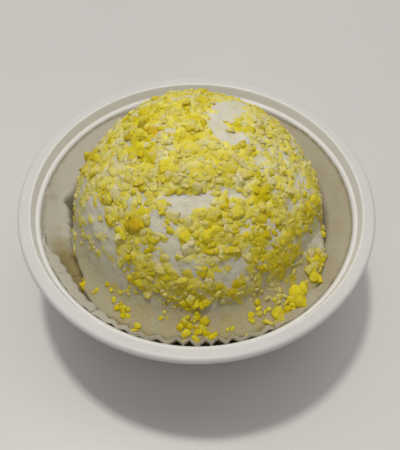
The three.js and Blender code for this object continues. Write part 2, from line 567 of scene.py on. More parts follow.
@dataclass(frozen=True)
class PaleTable:
    """Smooth pale table top with a faint sheen."""

    light: Colour = (0.71, 0.68, 0.645)
    dull: Colour = (0.67, 0.64, 0.61)
    cloud_waves: float = 3
    grain_waves: float = 700
    smoothest: float = 0.34
    roughest: float = 0.42
    relief: float = 0.02

    def build(self) -> bpy.types.Material:
        """Makes the material.

        Returns:
            The finished material.
        """
        graph = ShaderGraph("pale table")
        clouds = graph.noise(self.cloud_waves, 3)
        grain = graph.noise(self.grain_waves, 2)
        graph.drive("Base Color", graph.ramp(clouds, {0.35: self.dull, 0.65: self.light}))
        graph.drive("Roughness", graph.span(grain, 0.3, 0.7, self.smoothest, self.roughest))
        graph.bump(grain, self.relief)
        return graph.material


# ---------------------------------------------------------------- pieces


def new_layers(shape: bmesh.types.BMesh, *names: Layer) -> list[bmesh.types.BMLayerItem]:
    """Adds a value to each point of a bmesh under each of the names."""
    return [shape.verts.layers.float.new(name.value) for name in names]


def to_piece(shape: bmesh.types.BMesh, name: str, material: bpy.types.Material) -> bpy.types.Object:
    """Turns a bmesh into a smooth shaded object, and frees it.

    Args:
        shape: The finished shape in millimetres, already in its place.
        name: Name of the piece.
        material: Its finish.

    Returns:
        The object in metres, at the origin, unturned and unscaled.
    """
    bmesh.ops.scale(shape, vec=(MM, MM, MM), verts=shape.verts)
    for face in shape.faces:
        face.smooth = True
    mesh = bpy.data.meshes.new(name)
    shape.to_mesh(mesh)
    shape.free()
    mesh.materials.append(material)
    piece = bpy.data.objects.new(name, mesh)
    bpy.context.scene.collection.objects.link(piece)
    return piece


def join_frame(piece: bpy.types.Object, stands_for: str | None = None) -> None:
    """Fixes a piece to the frame and reports it.

    Args:
        piece: The finished object.
        stands_for: CAD node that it replaces, if any.
    """
    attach(piece, BODY)
    if stands_for:
        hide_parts(stands_for)
    LOG.info("%s: %d points, %d faces", piece.name, len(piece.data.vertices), len(piece.data.polygons))


# ---------------------------------------------------------------- the cup


@dataclass
class Cup:
    """Plastic cup: recessed foot, tapered wall, narrow shelf, steep step and a broad flange with a lip."""

    rim_radius: float
    height: float
    flange_width: float = 4.35
    flange_crown: float = 0.18
    lip_drop: float = 2.3
    lip_rounding: float = 1.2
    edge_rounding: float = 0.75
    underside_corner: float = 0.4
    step_lean: float = 1.0
    step_run: float = 0.15
    step_rise: float = 0.5
    shelf_depth: float = 4.2
    shelf_rounding: float = 0.45
    wall: float = 0.9
    wall_top_radius: float = 52.1
    wall_foot_radius: float = 36.2
    foot_recess: float = 0.8
    foot_ring_width: float = 5.0
    floor_thickness: float = 1.0
    corner_rounding: float = 1.4
    gate_radius: float = 1.8
    gate_drop: float = 0.35
    columns: int = 240
    warp: float = 0.12
    light_band: float = 0.5
    finish: CupPlastic = field(default_factory=CupPlastic)

    @property
    def floor(self) -> float:
        """Height of the floor inside."""
        return self.foot_recess + self.floor_thickness

    @property
    def shelf(self) -> float:
        """Height of the shelf below the flange."""
        return self.height - self.shelf_depth

    def wall_radius(self, height: float) -> float:
        """Inner radius of the tapered wall at a height."""
        rise = (height - self.floor) / (self.shelf - self.floor)
        return mix(self.wall_foot_radius, self.wall_top_radius, rise)

    @property
    def taper(self) -> float:
        """Lean of the wall, in radians."""
        return math.atan2(self.wall_top_radius - self.wall_foot_radius, self.shelf - self.floor)

    @property
    def level_wall(self) -> float:
        """Thickness of the tapered wall, measured level."""
        return self.wall / math.cos(self.taper)

    @property
    def flange_edge(self) -> float:
        """Radius at which the flange turns down to the step."""
        return self.rim_radius - self.flange_width

    @property
    def step_foot(self) -> float:
        """Radius of the step's foot."""
        return self.flange_edge - self.step_lean

    @property
    def step_height(self) -> float:
        """Height of the step's foot, where it runs out into the shelf."""
        return self.shelf + self.step_lean / 2

    @staticmethod
    def arc(centre: tuple[float, float], radius: float, start: float, end: float, steps: int) -> Outline:
        """Radius and height of the points of an arc, angles in degrees from the outward side."""
        angles = [math.radians(mix(start, end, step / steps)) for step in range(steps + 1)]
        return [(centre[0] + radius * math.cos(a), centre[1] + radius * math.sin(a)) for a in angles]

    def outside(self) -> Outline:
        """Section of the foot and the outer wall, from the axis to the underside of the shelf.

        Returns:
            Radius and height of its points.
        """
        foot = self.wall_radius(0) + self.level_wall
        recess = foot - self.foot_ring_width
        gate = self.foot_recess - self.gate_drop
        points = [
            (0.0, gate),
            (self.gate_radius * 0.8, gate),
            (self.gate_radius, self.foot_recess),
            (recess * 0.5, self.foot_recess),
            (recess - self.foot_recess, self.foot_recess),
            (recess - self.foot_recess * 0.4, self.foot_recess * 0.75),
            (recess, self.foot_recess * 0.1),
            (recess + self.foot_recess * 0.4, 0.0),
        ]
        rounding = self.corner_rounding
        centre = foot - rounding * math.tan((math.pi / 2 - self.taper) / 2)
        points += self.arc((centre, rounding), rounding, -90, -math.degrees(self.taper), 6)
        for step in range(1, 9):
            height = mix(rounding, self.shelf - self.wall, step / 8)
            points.append((self.wall_radius(height) + self.level_wall, height))
        return points

    def flange(self) -> Outline:
        """Section of the step and the flange: up their underside, round the lip and back along the top.

        Returns:
            Radius and height of its points.
        """
        underside = self.height - self.wall
        corner = self.underside_corner
        step_back = self.step_foot + self.wall
        lip_inside = self.rim_radius - self.wall
        lip_edge = self.wall / 2
        lip_bottom = self.height - self.lip_drop
        points = [
            (step_back, self.step_height - self.wall),
            (step_back + self.step_run, self.step_height - self.wall + self.step_rise),
            (self.flange_edge + self.wall, underside - corner),
            (self.flange_edge + self.wall + corner, underside),
            (lip_inside - corner, underside),
            (lip_inside, underside - corner),
        ]
        points += self.arc((lip_inside + lip_edge, lip_bottom + lip_edge), lip_edge, 180, 360, 6)
        outer = self.rim_radius - self.lip_rounding
        inner = self.flange_edge + self.edge_rounding
        points += self.arc((outer, self.height - self.lip_rounding), self.lip_rounding, 0, 90, 8)
        for step in range(1, 6):
            across = step / 6
            points.append((mix(outer, inner, across), self.height - self.flange_crown * across * across))
        edge_height = self.height - self.flange_crown - self.edge_rounding
        points += self.arc((inner, edge_height), self.edge_rounding, 90, 175, 6)
        foot = self.step_foot - self.shelf_rounding
        points += self.arc((foot, self.step_height + self.shelf_rounding), self.shelf_rounding, 0, -80, 4)
        return points

    def inside(self) -> Outline:
        """Section of the shelf, the inner wall and the floor, to the axis.

        Returns:
            Radius and height of its points.
        """
        wall_end = self.shelf - self.step_lean
        centre = (self.wall_radius(wall_end) + self.shelf_rounding, self.shelf - self.shelf_rounding)
        points = self.arc(centre, self.shelf_rounding, 95, 160, 4)
        wall_foot = self.floor + self.corner_rounding
        for step in range(1, 9):
            height = mix(wall_end, wall_foot, step / 8)
            points.append((self.wall_radius(height), height))
        corner = self.wall_radius(wall_foot) - self.corner_rounding
        points += self.arc((corner, wall_foot), self.corner_rounding, -20, -90, 4)
        return points + [(corner * 0.5, self.floor), (0.0, self.floor)]

    def paint_step_glow(self, shape: bmesh.types.BMesh) -> None:
        """Marks the step below the flange, which is painted paler: a painted glow for the light that comes
        through the plastic there.

        Args:
            shape: The spun cup.
        """
        (thin,) = new_layers(shape, Layer.PAINTED_LIGHT_AND_GREASE)
        edge = self.flange_edge + self.edge_rounding
        below_flange = Fade(edge, edge - self.light_band)
        above_shelf = Fade(self.shelf - 0.1, self.shelf + 0.4)
        for vert in shape.verts:
            # Painted glow: full on the step, between the flange's edge and the shelf.
            vert[thin] = above_shelf.at(vert.co.z) * below_flange.at(vert.co.xy.length)

    def out_of_true(self, shape: bmesh.types.BMesh) -> None:
        """Warps the flange very slightly, as slender moulded rims are.

        Args:
            shape: The spun cup.
        """
        rim = Fade(self.shelf, self.height)
        for vert in shape.verts:
            turn = math.atan2(vert.co.y, vert.co.x)
            vert.co.z -= self.warp * rim.at(vert.co.z) * (0.5 + 0.5 * math.sin(2 * turn + 0.6))

    def build(self) -> bpy.types.Object:
        """Spins the section into the cup.

        Returns:
            The finished piece.
        """
        shape = bmesh.new()
        outline = self.outside() + self.flange() + self.inside()
        verts = [shape.verts.new((radius, 0.0, height)) for radius, height in outline]
        edges = [shape.edges.new(pair) for pair in zip(verts, verts[1:])]
        bmesh.ops.spin(shape, geom=verts + edges, cent=(0, 0, 0), axis=(0, 0, 1), angle=math.tau,
                       steps=self.columns, use_merge=True)
        bmesh.ops.remove_doubles(shape, verts=shape.verts, dist=0.01)
        self.paint_step_glow(shape)
        self.out_of_true(shape)
        bmesh.ops.recalc_face_normals(shape, faces=shape.faces)
        return to_piece(shape, "plastic_cup", self.finish.build())

    def dress(self) -> None:
        """Builds the cup and fixes it to the frame."""
        join_frame(self.build(), "cup")


# ---------------------------------------------------------------- the paper case


@dataclass(frozen=True)
class Stance:
    """How the paper stands at one azimuth, in degrees; lengths are in millimetres.

    Attributes:
        azimuth: Where this holds.
        edge: Height of the cut edge.
        stand_off: Distance between the outer folds and the cup's wall at the crease.
        depth: Depth of the pleats at the crease.
        strip: Height of the strip above the crease.
        rim_off: Distance between the cut edge's outer folds and the cup's wall.
        rim_depth: Depth of the pleats at the cut edge.
        belly: How far the paper leans in towards the cream below the crease.
        valley: How deep it sags between there and the crease.
        breadth: Width of the pleats beside the usual one.
    """

    azimuth: float
    edge: float
    stand_off: float
    depth: float
    strip: float
    rim_off: float
    rim_depth: float
    belly: float = 0.0
    valley: float = 0.0
    breadth: float = 1.2


@dataclass(frozen=True)
class Pleat:
    """One pleat: its depth beside the usual one, its edge's lift in millimetres, its lean in degrees."""

    depth: float
    lift: float
    lean: float


@dataclass(frozen=True)
class GreaseAndPaintedLight:
    """Where the paper is painted darker and browner: a stain of fat towards the bottom, painted shade in its
    sagging hollow and in the pockets in front, and up the right side partly a painted yellow cast of light
    bounced from the crumbs.

    Attributes:
        front: Azimuth of the middle of the front, where the paper below its top is painted dark as shade in
            the pockets.
        front_reach: Fades the front out, by degrees from its middle.
        clean_from: Share of the paper's height where it starts to be clean, at the sides and in front.
        clean_to: Share of the height where it is quite clean, at the sides and in front.
        hollow: Painted shade for each millimetre that the paper sags.
        left: Stain of fat on the left side.
        left_from: Azimuths where the left side starts.
        left_to: Azimuths where it ends.
        right: Darkening on the right side, partly a painted yellow cast of light bounced from the crumbs.
        right_reach: Fades the right side in, by degrees from the far side of it.
    """

    front: float = 268.0
    front_reach: Fade = Fade(40, 25)
    clean_from: tuple[float, float] = (0.1, 0.945)
    clean_to: tuple[float, float] = (0.75, 0.975)
    hollow: float = 0.24
    left: float = 0.1
    left_from: Fade = Fade(176, 190)
    left_to: Fade = Fade(240, 228)
    right: float = 0.55
    right_reach: Fade = Fade(105, 125)

    def at(self, azimuth: float, risen: float, sag: float) -> float:
        """How far the paper is painted darker: its stain of fat, its painted shade and its painted bounced
        light.

        Args:
            azimuth: Where, in degrees.
            risen: Height of the place, as a share of the paper's.
            sag: How far the paper sags there, in millimetres.

        Returns:
            A share from 0 to 1.
        """
        left = self.left * self.left_from.at(azimuth) * self.left_to.at(azimuth)
        right = self.right * self.right_reach.at(abs((azimuth - 350) % 360 - 180))
        front = self.front_reach.at(abs(azimuth - self.front))
        clean = smooth_step(risen, mix(*self.clean_from, front), mix(*self.clean_to, front))
        return min(1.0, 1 - clean + self.hollow * sag + left + right)


@dataclass
class PaperCase:
    """Pleated paper case, pressed into the cup, with its top edge crushed unevenly by packing."""

    cup: Cup
    seed: int = 64
    pleats: int = 64
    pleat_widths: tuple[float, float] = (0.86, 1.14)
    pleat_depths: tuple[float, float] = (0.78, 1.15)
    pleat_lifts: tuple[float, float] = (-0.2, 0.2)
    pleat_leans: tuple[float, float] = (-0.9, 0.9)
    fold_places: tuple[float, ...] = (0.0, 0.07, 0.24, 0.42, 0.5, 0.58, 0.76, 0.93)
    fold_wave: tuple[float, ...] = (0.0, 0.15, 0.5, 0.86, 1.0, 0.86, 0.5, 0.15)
    corner_height: float = 4.0
    floor_radius: float = 34.0
    gap: float = 0.15
    thickness: float = 0.12
    clearance: float = 0.1
    onset: float = 2.0
    upper_slope: float = 0.36
    cream_line: float = 38.7
    fold_height: float = 2.6
    wall_rows: int = 20
    fold_rows: int = 8
    strip_rows: int = 5
    floor_rings: int = 5
    foot_lift: float = 0.3
    foot_part: Fade = Fade(0.0, 0.08)
    belly_part: Fade = Fade(0.2, 0.95)
    crush: float = 0.25
    twist: float = 0.5
    grease_and_painted_light: GreaseAndPaintedLight = field(default_factory=GreaseAndPaintedLight)
    surface: np.ndarray | None = field(init=False, default=None, repr=False)
    finish: CasePaper = field(default_factory=CasePaper)
    stances: tuple[Stance, ...] = (
        Stance(0, 40.4, 0.00, 0.15, 0.8, 0.00, 0.1, 6.2, 0.0, 1.0),
        Stance(40, 40.5, 0.00, 0.15, 0.8, 0.00, 0.1, 5.8, 0.0, 1.0),
        Stance(80, 39.5, 0.05, 0.4, 0.8, 0.05, 0.3, 4.4, 0.0, 1.0),
        Stance(105, 39.0, 0.05, 0.4, 0.8, 0.05, 0.3, 4.4, 0.0, 1.1),
        Stance(128, 40.4, 0.00, 0.2, 0.8, 0.00, 0.1, 5.4, 0.0, 1.2),
        Stance(145, 40.6, 0.00, 0.15, 0.8, 0.00, 0.1, 6.4, 0.1, 1.3),
        Stance(164, 40.6, 0.00, 0.35, 0.8, 0.00, 0.3, 6.8, 0.3, 1.1),
        Stance(171, 40.6, 0.10, 0.9, 0.8, 0.10, 0.6, 5.8, 0.6, 1.0),
        Stance(174, 40.6, 0.30, 1.8, 0.8, 0.20, 0.8, 2.6, 0.9, 1.0),
        Stance(177, 40.6, 0.20, 0.8, 0.8, 0.10, 0.6, 5.8, 0.9, 1.0),
        Stance(183, 40.4, 0.15, 0.8, 0.8, 0.20, 0.6, 6.8, 0.6, 1.0),
        Stance(190, 40.4, 0.05, 0.6, 0.6, 0.10, 0.5, 7.2, 1.2, 1.0),
        Stance(198, 40.0, 0.00, 0.4, -0.3, 0.80, 0.5, 7.8, 2.6, 1.0),
        Stance(206, 38.7, 0.00, 0.3, -1.7, 2.90, 0.6, 8.0, 5.0, 1.0),
        Stance(216, 38.5, 0.20, 0.3, -1.8, 3.30, 0.7, 6.8, 5.0, 1.0),
        Stance(224, 38.4, 0.05, 0.3, -1.7, 2.50, 0.6, 3.2, 2.4, 1.0),
        Stance(235, 38.3, 0.05, 0.4, -1.4, 2.20, 0.9, 1.2, 0.5, 1.0),
        Stance(241, 38.9, 0.05, 0.7, 0.6, 1.40, 0.9, 0.5, 0.0, 1.0),
        Stance(250, 39.2, 0.05, 0.7, 1.2, 1.20, 0.9, 0.0, 0.0, 1.0),
        Stance(258, 39.2, 0.10, 1.2, 1.2, 1.25, 1.2, 0.0, 0.0, 1.0),
        Stance(264, 39.2, 0.15, 2.1, 1.2, 1.30, 1.9, 0.0, 0.0, 1.0),
        Stance(281, 39.2, 0.15, 2.1, 1.2, 1.30, 1.9, 0.0, 0.0, 1.0),
        Stance(288, 39.2, 0.10, 1.2, 1.2, 1.25, 1.2, 0.0, 0.0, 1.0),
        Stance(299, 39.0, 0.05, 0.7, 0.6, 1.60, 1.0, 0.3, 0.0, 1.1),
        Stance(305, 38.6, 0.00, 0.25, -1.0, 3.40, 1.3, 0.8, 0.0, 1.4),
        Stance(319, 38.2, 0.00, 0.2, -1.4, 3.60, 1.5, 0.8, 0.0, 1.5),
        Stance(323, 38.8, 0.00, 0.2, -1.0, 2.20, 1.0, 2.4, 0.0, 1.2),
        Stance(326, 40.2, 0.00, 0.2, 0.8, 0.05, 0.2, 4.4, 0.0, 1.0),
        Stance(345, 40.4, 0.00, 0.15, 0.8, 0.00, 0.1, 6.2, 0.0, 1.0),
    )

    @property
    def columns(self) -> int:
        """Number of columns of points round the case."""
        return self.pleats * len(self.fold_places)

    @property
    def rows(self) -> int:
        """Number of rings of points, from the floor to the cut edge."""
        return self.floor_rings + self.wall_rows + self.fold_rows + self.strip_rows

    @property
    def bottom(self) -> float:
        """Height of the paper's floor."""
        return self.cup.floor + self.gap

    def stance(self, azimuth: float) -> Stance:
        """How the paper stands at an azimuth.

        Args:
            azimuth: Where, in degrees.

        Returns:
            A stance blended between the two nearest given ones.
        """
        azimuth %= 360
        later = next((s for s in self.stances if s.azimuth > azimuth), self.stances[0])
        earlier = self.stances[self.stances.index(later) - 1]
        span = (later.azimuth - earlier.azimuth) % 360
        share = smooth_step(((azimuth - earlier.azimuth) % 360) / span, 0, 1)
        names = [item.name for item in fields(Stance)[1:]]
        return Stance(azimuth, *(mix(getattr(earlier, name), getattr(later, name), share) for name in names))

    def column_azimuths(self, chance: random.Random) -> list[float]:
        """Azimuth of every column of points, closer together at the folds.

        Args:
            chance: Source of the pleats' uneven widths.

        Returns:
            Azimuths in degrees, the first at an outer fold.
        """
        widths = []
        for pleat in range(self.pleats):
            nominal = 360 * pleat / self.pleats
            widths.append(self.stance(nominal).breadth * chance.uniform(*self.pleat_widths))
        scale = 360 / sum(widths)
        azimuths = []
        start = 0.0
        for width in widths:
            azimuths += [start + width * scale * share for share in self.fold_places]
            start += width * scale
        return azimuths

    def rings(self) -> bmesh.types.BMesh:
        """Raises a round sheet into one ring of points for each row, a unit above the one before.

        Returns:
            The sheet, before it is shaped.
        """
        shape = bmesh.new()
        bmesh.ops.create_circle(shape, cap_ends=True, cap_tris=True, segments=self.columns, radius=1.0)
        ring = [edge for edge in shape.edges if edge.is_boundary]
        for _ in range(self.rows):
            made = bmesh.ops.extrude_edge_only(shape, edges=ring)["geom"]
            raised = [item for item in made if isinstance(item, bmesh.types.BMVert)]
            bmesh.ops.translate(shape, verts=raised, vec=(0, 0, 1))
            ring = [item for item in made if isinstance(item, bmesh.types.BMEdge) and item.is_boundary]
        return shape

    def build(self) -> bpy.types.Object:
        """Shapes the floor, the folded wall and the top strip, then gives the paper its thickness.

        Returns:
            The finished piece.
        """
        chance = random.Random(self.seed)
        azimuths = self.column_azimuths(chance)
        spreads = (self.pleat_depths, self.pleat_lifts, self.pleat_leans)
        drawn = [[chance.uniform(*spread) for _ in range(self.pleats + 1)] for spread in spreads]
        pleats = [Pleat(*values) for values in zip(*drawn)]
        shape = self.rings()
        (painted_light_and_grease,) = new_layers(shape, Layer.PAINTED_LIGHT_AND_GREASE)
        self.surface = np.zeros((self.rows + 1, self.columns, 3))
        for vert in shape.verts:
            row = round(vert.co.z)
            if vert.co.xy.length < 0.5:
                vert.co = Vector((0, 0, self.bottom))
                continue
            column = round(math.atan2(vert.co.y, vert.co.x) / math.tau * self.columns) % self.columns
            azimuth = azimuths[column]
            vert.co = self.point(row, column, azimuth, pleats[column // len(self.fold_places)])
            self.surface[row, column] = vert.co
            # Stain of fat with painted shade and painted bounced light.
            vert[painted_light_and_grease] = self.grease_and_painted_light_share(row, azimuth, vert.co.z)
        bmesh.ops.recalc_face_normals(shape, faces=shape.faces)
        piece = to_piece(shape, "pleated_case", self.finish.build())
        sheet = piece.modifiers.new("sheet", "SOLIDIFY")
        sheet.thickness = self.thickness * MM
        sheet.offset = 0.0
        return piece

    def wall_share(self, row: int) -> float:
        """How far a row lies up the wall, from 0 at the floor to 1 at the foot of the fold."""
        return clamp((row - self.floor_rings) / self.wall_rows)

    def fold_share(self, row: int) -> float:
        """How far a row lies up the fold, from 0 at its foot to 1 at the crease."""
        return clamp((row - self.floor_rings - self.wall_rows) / self.fold_rows)

    def strip_share(self, row: int) -> float:
        """How far a row lies up the strip, from 0 at the crease to 1 at the cut edge."""
        return clamp((row - self.floor_rings - self.wall_rows - self.fold_rows) / self.strip_rows)

    def sag(self, row: int, stance: Stance) -> float:
        """How far a row sags between the wall and the crease, in millimetres."""
        return stance.valley * math.sin(math.pi * self.fold_share(row))

    def level(self, row: int, stance: Stance, pleat: Pleat) -> float:
        """Height of a row above the floor's.

        Args:
            row: Ring of points, counted from the middle of the floor to the cut edge.
            stance: How the paper stands there.
            pleat: The pleat that it belongs to.

        Returns:
            The height in millimetres.
        """
        rise = self.wall_share(row)
        crease = stance.edge - stance.strip + pleat.lift * 0.5
        height = mix(self.corner_height, crease - self.fold_height, rise)
        height = mix(height, self.bottom + self.foot_lift, 0.9 * (1 - self.foot_part.at(rise)))
        height += self.fold_share(row) * self.fold_height - self.sag(row, stance)
        return height + self.strip_share(row) * (stance.strip + pleat.lift * 0.5)

    def point(self, row: int, column: int, azimuth: float, pleat: Pleat) -> Vector:
        """Place of one point of the paper.

        Args:
            row: Ring of points, counted from the middle of the floor to the cut edge.
            column: Column of points round the case.
            azimuth: Azimuth of that column at the floor.
            pleat: The pleat that it belongs to.

        Returns:
            The point in millimetres.
        """
        if row < self.floor_rings:
            return polar(self.floor_radius * (row + 1) / (self.floor_rings + 1), azimuth, self.bottom)
        stance = self.stance(azimuth)
        height = self.level(row, stance, pleat)
        rise = self.wall_share(row)
        above = self.strip_share(row)
        crush = 1 + self.crush * noise.noise(Vector((azimuth * 0.13, height * 0.12, 3.0)))
        zigzag = mix(stance.depth * rise**self.onset, stance.rim_depth, above) * pleat.depth * crush
        zigzag *= self.fold_wave[column % len(self.fold_wave)]
        lean_in = stance.belly * self.belly_part.at(rise) * (1 - self.fold_share(row))
        off = mix(stance.stand_off * rise**2 + lean_in, stance.rim_off, above)
        radius = self.cup.wall_radius(height) - self.gap - off - zigzag
        free = self.cup.wall_radius(min(height, self.cup.shelf)) - self.clearance
        turned = azimuth + pleat.lean * rise**2 * min(1.0, stance.depth)
        turned += self.twist * noise.noise(Vector((azimuth * 0.09, 0.0, 7.0))) * rise
        return polar(min(radius, free), turned, height)

    def grease_and_painted_light_share(self, row: int, azimuth: float, height: float) -> float:
        """How far the paper is painted darker: its stain of fat, its painted shade and its painted bounced
        light.

        Args:
            row: Ring of points, counted from the middle of the floor to the cut edge.
            azimuth: Where, in degrees.
            height: Height of the point in millimetres.

        Returns:
            A share from 0 to 1.
        """
        stance = self.stance(azimuth)
        risen = (height - self.bottom) / (stance.edge - self.bottom)
        return self.grease_and_painted_light.at(azimuth, risen, self.sag(row, stance))

    @cached_property
    def upright(self) -> list[tuple[float, np.ndarray, np.ndarray]]:
        """Rows of the finished wall.

        Returns:
            For each row its height, and its columns' azimuths in order with their radii.
        """
        rows = []
        for ring in self.surface[self.floor_rings:self.floor_rings + self.wall_rows + 1]:
            angles = np.degrees(np.arctan2(ring[:, 1], ring[:, 0])) % 360
            order = np.argsort(angles)
            rows.append((float(ring[:, 2].mean()), angles[order], np.hypot(ring[:, 0], ring[:, 1])[order]))
        return rows

    def inside(self, azimuth: float, height: float) -> float:
        """Radius of the paper's inner face.

        Args:
            azimuth: Where, in degrees.
            height: Where, in millimetres.

        Returns:
            The radius in millimetres.
        """
        levels = [level for level, _, _ in self.upright]
        below = max(0, min(len(levels) - 2, sum(level < height for level in levels) - 1))
        low, high = self.upright[below], self.upright[below + 1]
        share = clamp((height - low[0]) / (high[0] - low[0]))
        lower, upper = (float(np.interp(azimuth % 360, *row[1:], period=360)) for row in (low, high))
        above = max(0.0, min(height, self.cream_line) - levels[-1])
        return mix(lower, upper, share) + self.upper_slope * above - self.thickness

    def dress(self) -> None:
        """Builds the case and fixes it to the frame."""
        join_frame(self.build(), "paper_case")


# ---------------------------------------------------------------- the cream


@dataclass(frozen=True)
class Lump:
    """A broad swelling or, with a negative height, a hollow: azimuth, elevation and reach in degrees."""

    azimuth: float
    elevation: float
    reach: float
    height: float


@dataclass(frozen=True)
class Ridge:
    """A raised line or, with a negative height, a groove: its course by azimuth and elevation."""

    course: tuple[tuple[float, float], ...]
    half_width: float
    height: float

    def at(self, spot: Vector) -> float:
        """Height of the ridge.

        Args:
            spot: A spot of the unit ball.

        Returns:
            The height in millimetres.
        """
        nearest = 10.0
        for start, end in zip(self.course, self.course[1:]):
            first = heading(*start)
            along = heading(*end) - first
            share = clamp((spot - first).dot(along) / along.length_squared)
            nearest = min(nearest, (spot - first - along * share).length)
        return self.height * math.exp(-((math.degrees(nearest) / self.half_width) ** 2))


@dataclass(frozen=True)
class Patch:
    """A place on the dome with its own share of crumbs.

    Attributes:
        azimuth: Middle of the patch, in degrees.
        elevation: Middle of the patch, in degrees.
        across: Half its width round the dome, in degrees of arc.
        up: Half its height up the dome, in degrees of arc.
        share: Crumbs here beside a well covered place.
        turn: Angle by which it is turned, in degrees, to the left.
    """

    azimuth: float
    elevation: float
    across: float
    up: float
    share: float
    turn: float = 0.0

    @cached_property
    def axes(self) -> tuple[Vector, Vector, Vector]:
        """The patch's own directions.

        Returns:
            Unit vectors out of the patch, to its right and up it.
        """
        turn = math.radians(self.azimuth)
        middle = heading(self.azimuth, self.elevation)
        east = Vector((-math.sin(turn), math.cos(turn), 0))
        return middle, east, middle.cross(east)

    @cached_property
    def nearest(self) -> float:
        """Cosine of the angle beyond which nothing belongs to the patch."""
        return math.cos(math.radians(min(90.0, 1.6 * max(self.across, self.up))))

    @cached_property
    def edge(self) -> Ripple:
        """Noise that makes the patch's edge uneven."""
        return Ripple(0.5, 10.0, 3, self.azimuth)

    def weight(self, spot: Vector) -> float:
        """How much a spot belongs to the patch.

        Args:
            spot: A spot of the unit ball.

        Returns:
            A share from 0 to 1.
        """
        middle, east, north = self.axes
        ahead = spot.dot(middle)
        if ahead < self.nearest:
            return 0.0
        right = math.degrees(math.atan2(spot.dot(east), ahead))
        above = math.degrees(math.atan2(spot.dot(north), ahead))
        turn = math.radians(self.turn)
        along = right * math.cos(turn) + above * math.sin(turn)
        aside = above * math.cos(turn) - right * math.sin(turn)
        away = math.hypot(along / self.across, aside / self.up) + self.edge.at(spot)
        return 1 - smooth_step(away, 0.6, 1.3)


@dataclass(frozen=True)
class Grain:
    """The crust of crushed crumbs at a spot.

    Attributes:
        height: Its height above the cream in millimetres.
        yellow: Share of crumb, 0 where the cream lies bare.
        top: How far the spot lies from its crumb's edge, 1 on the crumb's top.
        tone: The crumb's own tone.
        cover: Share of crumbs in the places round the spot.
    """

    height: float
    yellow: float
    top: float
    tone: float
    cover: float


@dataclass(frozen=True)
class Skirt:
    """Cream that spreads beyond the dome's ball and fills the case: widest in front, less at the sides.

    Attributes:
        width: How far it spreads at its foot.
        top: Height where it leaves the ball.
        bend: Power by which it spreads on its way down; a higher one hollows its slope more.
        edge: Height of its foot.
        slope_top: Height where it leaves the ball at the left and in front, where it is more hollow.
        slope_bend: Its power there.
        slope: Azimuths where the hollow slope changes into the plain one.
        wobble: Unevenness of the height where it leaves the ball.
        left_share: Its width at the left beside that in front.
        left_end: Azimuths where it starts at the left.
        left_swell: Azimuths where it reaches its full width.
        right_share: Its width at the right beside that in front.
        right_ebb: Azimuths where it narrows at the right.
        right_loss: Share of its width that is lost beyond the right.
        right_end: Azimuths where this is lost.
    """

    width: float = 9.0
    top: float = 44.0
    bend: float = 1.5
    edge: float = 37.9
    slope_top: float = 50.0
    slope_bend: float = 4.4
    slope: Fade = Fade(306, 288)
    wobble: float = 0.8
    left_share: float = 0.5
    left_end: Fade = Fade(188, 202)
    left_swell: Fade = Fade(208, 232)
    right_share: float = 0.75
    right_ebb: Fade = Fade(300, 322)
    right_loss: float = 0.85
    right_end: Fade = Fade(324, 350)

    def at(self, azimuth: float, height: float) -> float:
        """How far the cream spreads beyond the dome's ball.

        Args:
            azimuth: Where, in degrees.
            height: Where, in millimetres.

        Returns:
            The distance in millimetres.
        """
        azimuth %= 360
        share = mix(self.left_share, 1.0, self.left_swell.at(azimuth)) * self.left_end.at(azimuth)
        share *= mix(1.0, self.right_share, self.right_ebb.at(azimuth))
        share *= 1 - self.right_loss * self.right_end.at(azimuth)
        gentle = self.slope.at(azimuth)
        top = mix(self.top, self.slope_top, gentle)
        top += self.wobble * noise.noise(Vector((azimuth * 0.05, 4.0, 0.0)))
        drop = clamp((top - height) / (top - self.edge))
        return share * self.width * drop ** mix(self.bend, self.slope_bend, gentle)


